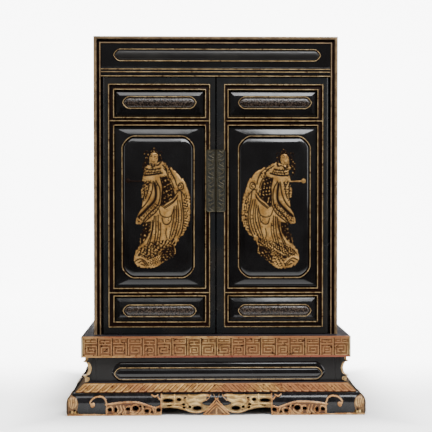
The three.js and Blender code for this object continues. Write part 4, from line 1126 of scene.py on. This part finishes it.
def apron_lines(half, rich):
    """Raised lines of half an apron, as distance from the middle and height, with half width and rise."""
    leg = half - LEG
    mid = leg / 2
    k = mid / DRAWN_BAY
    lines = [
        # Spiral on the leg, with its bulb
        ([(half - 40.6, 18.6), (half - 38.8, 22.5), (half - 42.7, 27.6), (half - 48, 30.4), (half - 56, 31),
          (half - 62, 28.4), (half - 65, 22.5), (half - 65.8, 16), (half - 65, 1)], 1.3, 1.4),
        ([(half - 42.6, 17.2), (half - 43.4, 18.6)], 4.2, 1.6),
        # Foot rim
        ([(half - 1, 1.4), (half - 64, 1.4)], 1.7, 1.4), ([(leg, 1.3), (mid + 1, 1.3)], 1.6, 1.3),
    ]
    openwork = [
        # Border over the openwork
        ([(1, 18.4), (-6, 19.6), (-21.5, 21.5), (-42, 22.6), (-57, 20.6), (-72, 15.4), (-80.4, 13.3),
          (-89, 16.6)], 1.5, 1.5),
        # Scrolls around the pierced cells
        ([(-1, 4), (-3, 14), (-9, 15), (-11, 6)], 1.3, 1.3), ([(-12, 3), (-19, 8), (-17, 16)], 1.3, 1.3),
        ([(-20, 4), (-25, 9), (-23, 17)], 1.2, 1.2), ([(-26, 3), (-30, 9), (-28, 17)], 1.2, 1.2),
        ([(-31, 4), (-34, 15), (-40, 15), (-39, 7)], 1.3, 1.3),
        ([(-39, 4), (-45, 3.5), (-52, 7), (-53.5, 13), (-49, 17.6), (-42, 16.5), (-41, 11)], 1.3, 1.4),
        ([(-42, 6.6), (-45, 8.4)], 2.6, 1.5), ([(-53, 3), (-60, 11), (-58, 17)], 1.2, 1.2),
        ([(-56, 3), (-62, 9)], 1.1, 1.2), ([(-60, 3), (-66, 12), (-72, 11), (-70, 4)], 1.2, 1.3),
        ([(-72, 3), (-77, 8), (-76, 12)], 1.2, 1.2), ([(-79, 3), (-81, 11)], 1.2, 1.2),
        ([(-89, 3), (-88.6, 13)], 1.4, 1.3), ([(-82, 4), (-88, 5)], 1.1, 1.2),
    ]
    lines += [([(leg + u * k, v) for u, v in line], width, rise) for line, width, rise in openwork]
    middle = [
        # Border from the triangle's tip out along the arch
        ([(1.5, 25.5), (9.5, 16.6), (17, 9.8), (25, 6.6), (34, 5.4), (42, 6.8), (52, 11), (62, 14.6),
          (76, 15.6)], 1.4, 1.5),
        # Triangle, its inner line and foot
        ([(21, 2), (10.5, 12), (0, 22)], 1.4, 1.4), ([(14, 2.6), (7, 10), (0, 16)], 1.0, 1.2),
        ([(21, 1.4), (0, 1.4)], 1.5, 1.3), ([(0, 3), (0, 12)], 1.6, 1.0),
        # Volutes at the top of the middle
        ([(5, 33), (3.4, 29), (0, 26.4)], 1.4, 1.5), ([(9, 32.6), (11, 28), (16, 25)], 1.6, 1.4),
        # Leaf
        ([(46, 32), (36, 30), (26, 32), (13, 32)], 2.2, 1.4),
        ([(47, 24), (38, 26), (28, 24), (19, 26)], 2.2, 1.4),
        ([(42, 18.6), (34, 20), (27, 18)], 2.0, 1.3), ([(50, 31), (48.6, 24), (44, 19.4)], 1.5, 1.4),
        # Scrolls between the upright and the leaf
        ([(66, 30), (62, 30.4), (57, 29), (56, 24), (60, 22)], 1.4, 1.4),
        ([(68, 20), (64, 19), (58, 20), (54, 22.6)], 1.4, 1.3),
        ([(56, 16), (50, 18), (47, 15)], 1.3, 1.3),
        ([(47.4, 14.3), (43.6, 17.8), (40.2, 14.3), (43.6, 11)], 1.2, 1.3),
        ([(38.6, 13.6), (39.6, 13.8)], 1.7, 1.4),
    ]
    lines += [([(u * k, v) for u, v in line], width, rise) for line, width, rise in middle]
    if rich:
        lines += [
            # Frame of the long cell beside the upright, and a small hanging leaf on the leg
            ([(90.3, 13), (90.3, 34)], 1.4, 1.3), ([(89, 29.5), (70, 30.4)], 1.4, 1.3),
            ([(69, 18), (69, 33)], 1.5, 1.3), ([(89, 19.4), (70, 19.6)], 1.5, 1.3),
            ([(106, 33.4), (101, 31), (96, 33)], 1.2, 1.1), ([(96, 30), (92, 26)], 1.2, 1.1),
        ]
    return lines


def apron_fields(half, k):
    """Areas of half an apron that are gilt between their lines, each with how pale the gold is."""
    leg = half - LEG
    mid = leg / 2
    return [
        ([(half, 0), (half, 36), (half - 10, 33), (half - 17, 29), (half - 20, 20), (half - 18, 10),
          (half - 21, 3), (leg, 2.6), (leg, 0)], 0.3),
        ([(leg + 1, 0), (leg + 1, 18.4), (leg - 21.5 * k, 21.5), (leg - 42 * k, 22.6), (leg - 57 * k, 20.6),
          (leg - 72 * k, 15.4), (leg - 80.4 * k, 13.3), (mid, 16.6), (mid, 0)], 0.0),
        ([(90 * k, 34), (70 * k, 34), (17 * k, 34), (16 * k, 27), (24 * k, 20.5), (20 * k, 18), (10 * k, 16),
          (17 * k, 9), (34 * k, 4), (54 * k, 9), (76 * k, 12.6), (90 * k, 12.6)], 0.8),
        ([(22 * k, 0), (0, 22.5), (-2, 22.5), (-2, 0)], 0.1),
    ]


def apron_holes(half, k, rich):
    """Dark pierced cells of half an apron: place and half sizes."""
    leg = half - LEG
    holes = [((-5.7, 10.3), (3.0, 2.6)), ((-15.6, 10), (2.0, 3.8)), ((-24.5, 2.6), (1.3, 1.0)),
             ((-35.4, 11.3), (3.0, 2.4)), ((-47.6, 12.4), (4.4, 3.8)), ((-55.5, 15.6), (1.6, 1.3)),
             ((-62.1, 14.6), (1.4, 1.1)), ((-66, 8), (3.2, 2.4)), ((-74.6, 6.4), (1.5, 1.8)),
             ((-85.3, 9.6), (3.2, 2.8))]
    cells = [((leg + x * k, z), size) for (x, z), size in holes]
    cells += [((61.5 * k, 26), (3.0, 2.2)), ((54 * k, 18.4), (2.2, 1.5)), ((53 * k, 13.6), (2.0, 1.4)),
              ((51.5 * k, 28.6), (1.6, 1.0)), ((43.7 * k, 14.3), (2.1, 2.0)), ((31.6 * k, 12.2), (6.6, 3.2)),
              ((half - 5.8, 7), (1.6, 1.7)), ((half - 13.4, 9.4), (1.9, 1.4)),
              ((half - 17.2, 6.4), (1.2, 1.8))]
    if rich:
        cells += [((79.4, 24.6), (7.8, 2.8)), ((77, 16.9), (3.4, 0.8))]
    return cells


def apron_low(distance, half):
    """Height of the lower edge of an apron at a distance from its middle."""
    bay = (half - LEG) / 2
    points = ((0, 0), (0.22, 0), (0.26, 3.9), (0.4, 4.2), (0.5, 5.6), (0.6, 8.8), (0.71, 12.2), (0.84, 13.2),
              (0.98, 12.7), (1.0, 0), (9, 0))
    return np.interp(distance / bay, [p[0] for p in points], [p[1] for p in points])


def build_apron(name, node, half, reach, turns, rich):
    """A carved apron: gilt relief and pierced cells under a bowed black lacquer shoulder."""
    columns, rows = int(2 * half / 0.85) + 1, 50
    along_x = np.linspace(-half, half, columns)
    up = np.linspace(0, 1, rows)
    x, share = np.meshgrid(along_x, up)
    k = (half - LEG) / 2 / DRAWN_BAY
    low = apron_low(np.abs(x), half)
    z = low + (APRON_TOP - low) * share
    turn = np.arcsin(np.clip((z - SHOULDER_LOW) / SHOULDER_TALL, 0, 1))
    bowed = z > SHOULDER_LOW
    back = np.where(bowed, APRON_LEAN * (1 - np.cos(turn)), 0) + np.clip((6 - z) / 6, 0, 1) * 1.5
    normal_y = np.where(bowed, -np.cos(turn) * SHOULDER_TALL, -1)
    normal_z = np.where(bowed, np.sin(turn) * APRON_LEAN, 0)
    length = np.hypot(normal_y, normal_z)
    px, pz = np.abs(x), z
    relief_height = np.zeros(x.shape)
    gilt = np.zeros(x.shape)
    pale = np.zeros(x.shape)
    for field, paleness in apron_fields(half, k):
        depth = depth_inside([tuple(p) for p in field], px, pz)
        on = np.clip(depth / 1.0, 0, 1)
        gilt = np.maximum(gilt, on)
        pale = np.maximum(pale, on * paleness)
        relief_height = np.maximum(relief_height, 0.45 * on)
    # Gilt grounds between the raised lines are drawn dark, so that only the crests stay gold: painted shade
    # in the valleys of the carving.
    hollow = np.where(gilt > 0.3, 0.8 - 0.3 * pale, 0.0)
    for points, width, rise in apron_lines(half, rich):
        bump = ridge(smooth_line(points), px, pz, width, rise, 0.2)
        relief_height = np.maximum(relief_height, bump)
        gilt = np.maximum(gilt, np.clip(bump * 2.2, 0, 1))
        hollow = np.where(bump > 0, np.minimum(hollow, np.clip(1.1 - bump * 1.3, 0, 1)), hollow)
    crescent = [(8.5, 34), (12, 28), (18, 23.5), (24, 20.5), (20, 18.4), (12, 18), (6.5, 21),
                (3.8, 25), (2.8, 30), (5, 34)]
    black = depth_inside([(u * k, v) for u, v in crescent], px, pz) > 0
    relief_height = np.where(black, 0.2, relief_height)
    gilt = np.where(black, 0, gilt)
    # Oval mask with leaf cuts on the corner
    mask = np.clip(1 - ((px - (half - 10)) / 8.6) ** 2 - ((pz - 21.5) / 10) ** 2, 0, 1)
    cut = np.zeros(x.shape)
    for points in ([(-5, 29), (-7, 22), (-6, 15)], [(-9, 30), (-10.5, 22), (-9, 14)],
                   [(-13, 28), (-14, 21), (-12.4, 14)], [(-3, 24), (-4, 17)]):
        cut = np.maximum(cut, grooved([(half + u, v) for u, v in points], px, pz, 0.9))
    relief_height = np.maximum(relief_height, np.where(mask > 0, 1.4 * np.sqrt(mask) + 0.1 - 0.5 * cut, 0))
    # The mask is darkened in its leaf cuts and toward its rim as painted shade.
    hollow = np.where(mask > 0, np.maximum(0.85 * cut, np.clip(1.1 - mask * 3, 0, 1)), hollow)
    gilt = np.where(mask > 0, 1, gilt)
    for centre in ((half - 9.6, 6.2), (half - 15.2, 5.8)):
        bulge = np.clip(1 - ((px - centre[0]) ** 2 + (pz - centre[1]) ** 2) / 5.0, 0, None)
        relief_height = np.maximum(relief_height, 1.5 * np.sqrt(bulge))
        hollow = np.where(bulge > 0.1, 0.0, hollow)
        pale = np.maximum(pale, (bulge > 0).astype(float))
    pierced = np.zeros(x.shape, bool)
    for (cx, cz), (wide, tall) in apron_holes(half, k, rich):
        cell = ((px - cx) / wide) ** 2 + ((pz - cz) / tall) ** 2
        pierced |= cell < 1
        # Gilt round each pierced cell is darkened as painted shade.
        hollow = np.where((cell < 1.9) & (gilt > 0.3), np.maximum(hollow, 0.8), hollow)
    edge = pierced.copy()
    for shift in (1, -1):
        edge |= np.roll(pierced, shift, 0) | np.roll(pierced, shift, 1)
    relief_height = np.where(edge, np.minimum(relief_height, 0.5), relief_height)
    y = -(reach - CARVING) + back + normal_y / length * relief_height
    z_out = z + normal_z / length * relief_height
    limit = half - back
    place = turned_grid(np.clip(x, -limit, limit), np.maximum(y, -reach), np.minimum(z_out, APRON_TOP),
                        turns)
    plane = -reach + APRON_BOARD
    most = half - APRON_BOARD

    def to_back(co):
        moved = co.copy()
        if turns == 0:
            moved.y = plane
            moved.x = max(-most, min(most, moved.x))
        else:
            moved.x = -turns * plane
            moved.y = max(-most, min(most, moved.y))
        return moved

    relief(name, columns, rows, place, ~pierced, {"hollow": hollow, "gilt": gilt, "pale": pale},
           [SIDE_APRON if turns else APRON], walls=to_back, stands_for=(node,), slot="gilt_carving", angle=60)


def apron_material(name, dark, light, shine):
    """Black lacquer where the carving isn't gilt, and worn gold where it is."""
    material, tree, surface, place = start(name)
    tone = spread(tree, noise(tree, place, 12, 4), 0.35, 0.65)
    rubbed = spread(tree, noise(tree, place, 5, 6, 0.7), 0.42, 0.33)
    hollow, gilt, pale = attribute(tree, "hollow"), attribute(tree, "gilt"), attribute(tree, "pale")
    sharp_gilt = spread(tree, gilt, 0.35, 0.6)
    peach = mixed(tree, tone, "906034", "b58a5a")
    pale_gold = mixed(tree, tone, "a58348", "c9ab6d")
    gold = mixed(tree, pale, peach, pale_gold)
    worn = mixed(tree, rubbed, gold, "5f2c14")
    # Dark red-brown where the hollow share is high: partly bole, partly painted shade in the valleys, round
    # the cells and on the walls.
    carved = mixed(tree, hollow, worn, "2a0d06")
    black = mixed(tree, tone, dark, light)
    loss = combined(tree, "MULTIPLY_ADD", {0: hollow, 2: sharp_gilt}, {1: -1.0})
    links = {
        "Base Color": mixed(tree, sharp_gilt, black, carved),
        "Metallic": spread(tree, loss, 0, 1, 0, 0.4),
        "Roughness": spread(tree, sharp_gilt, 0, 1, 0.16, 0.46),
        "Specular IOR Level": spread(tree, loss, 0, 1, shine, 0.35),
        "Normal": bumped(tree, noise(tree, place, 2.4, 4), 0.2),
    }
    feed(tree, surface, links)
    return material


# Front apron with a soft shine; the side aprons are dusty and dull
APRON = apron_material("apron_lacquer_and_gilding", "0e0d0d", "1a1819", 0.26)
SIDE_APRON = apron_material("side_apron_lacquer_and_gilding", "232120", "312e2c", 0.0)


def dress_plain_nodes():
    """Soft edges and plain finishes for the boards that stay as they are."""
    for node, look in (("back_board", PLAIN), ("floor_board", INSIDE), ("back_apron", PLAIN),
                       ("waist_back", PLAIN)):
        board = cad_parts[node]
        board.data.materials.clear()
        board.data.materials.append(look)
        soft = board.modifiers.new("soft_edges", "BEVEL")
        soft.width = 0.5 * MM
        soft.segments = 2
        soft.limit_method = "ANGLE"
        soft.angle_limit = math.radians(40)


build_case()
build_frieze()
build_lintel()
build_doors()
build_deck()
build_posts()
build_waist()
build_tread()
build_apron("front_carving", "front_apron", STAND_HALF_X, STAND_HALF_Y, 0, True)
build_apron("right_carving", "right_apron", STAND_HALF_Y, STAND_HALF_X, 1, False)
build_apron("left_carving", "left_apron", STAND_HALF_Y, STAND_HALF_X, -1, False)
dress_plain_nodes()


# Studio: a pale floor that curves up behind, soft lamps and the photo's camera

PAPER_GLOW = 7.0
# How fast the photo's view widens to each side with the distance from the camera
VIEW_SPREAD = 0.206


def build_studio():
    bm = bmesh.new()
    wide, near, far = 4.0, -6.0, 1.6
    path = [(near, 0.0), (far, 0.0)]
    for step in range(1, 9):
        turn = step / 8 * math.pi / 2
        path.append((far + 0.8 * math.sin(turn), 0.8 * (1 - math.cos(turn))))
    path.append((far + 0.8, 5.0))
    loft(bm, [[(x, y, z) for y, z in path] for x in (-wide, wide)], closed=False)
    for face in bm.faces:
        face.smooth = True
    data = bpy.data.meshes.new("studio_floor")
    bm.to_mesh(data)
    bm.free()
    material, tree, surface, place = start("pale_studio_paper")
    parts = add(tree, "SeparateXYZ", links={0: place}).outputs
    lit = spread(tree, parts["Y"], -560, -270)
    behind = spread(tree, parts["Y"], -120, 450, 0.31, 1)
    # The paper glows everywhere but round the altar's footprint, where its glow fades out as a painted shadow
    sides = [combined(tree, "ABSOLUTE", {0: parts[axis]}) for axis in "XY"]
    apart = [spread(tree, side, half - 30, half + 120)
             for side, half in zip(sides, (STAND_HALF_X, STAND_HALF_Y))]
    clear = combined(tree, "MAXIMUM", {0: apart[0], 1: apart[1]})
    # It glows as wide and as high as the photo shows it, so that the black sides stay black
    aside = combined(tree, "MULTIPLY_ADD", {0: parts["Y"], 2: sides[0]}, {1: -VIEW_SPREAD})
    shares = (clear, behind, spread(tree, aside, 450, 640, 1, 0),
              spread(tree, parts["Z"], 1300, 1900, 1, 0))
    glow = lit
    for share in shares:
        glow = combined(tree, "MULTIPLY", {0: glow, 1: share})
    tree.links.new(mixed(tree, lit, "1c1c1c", "f8f8f7"), surface.inputs["Base Color"])
    tree.links.new(mixed(tree, glow, "000000", "ffffff"), surface.inputs["Emission Color"])
    surface.inputs["Emission Strength"].default_value = PAPER_GLOW
    surface.inputs["Roughness"].default_value = 0.9
    data.materials.append(material)
    floor = bpy.data.objects.new("studio_floor", data)
    bpy.context.scene.collection.objects.link(floor)


def lamp(name, at, towards, size, energy, colour=(1, 1, 1)):
    light = bpy.data.lights.new(name, "AREA")
    light.shape = "RECTANGLE"
    light.size, light.size_y = size
    light.energy = energy
    light.color = colour
    holder = bpy.data.objects.new(name, light)
    holder.location = at
    holder.rotation_euler = (Vector(towards) - Vector(at)).to_track_quat("-Z", "Y").to_euler()
    bpy.context.scene.collection.objects.link(holder)


def build_light():
    lamp("right_top_softbox", (0.72, -1.3, 1.85), (0.1, -0.1, 0.35), (1.36, 0.7), 60, (0.96, 0.98, 1))
    lamp("left_top_softbox", (-0.56, -1.3, 1.85), (-0.1, -0.1, 0.35), (1.36, 0.7), 20)
    lamp("left_softbox", (-2.2, -0.7, 1.0), (0, 0, 0.3), (0.8, 1.6), 14)
    lamp("right_softbox", (2.2, -0.9, 1.1), (0, 0, 0.3), (0.8, 1.6), 22)
    world = bpy.data.worlds.new("studio_air")
    world.use_nodes = True
    world.node_tree.nodes["Background"].inputs["Color"].default_value = linear("f0f2f5")
    world.node_tree.nodes["Background"].inputs["Strength"].default_value = 0.2
    bpy.context.scene.world = world


def build_camera():
    camera = bpy.data.cameras.new("photo_camera")
    camera.lens = 87.5
    camera.sensor_width = 36
    camera.clip_start, camera.clip_end = 0.05, 50
    holder = bpy.data.objects.new("photo_camera", camera)
    holder.location = (-0.040, -1.893, 0.3616)
    holder.rotation_euler = (math.radians(90 - 1.18), 0, math.radians(-1.31))
    bpy.context.scene.collection.objects.link(holder)
    bpy.context.scene.camera = holder


build_studio()
build_light()
build_camera()
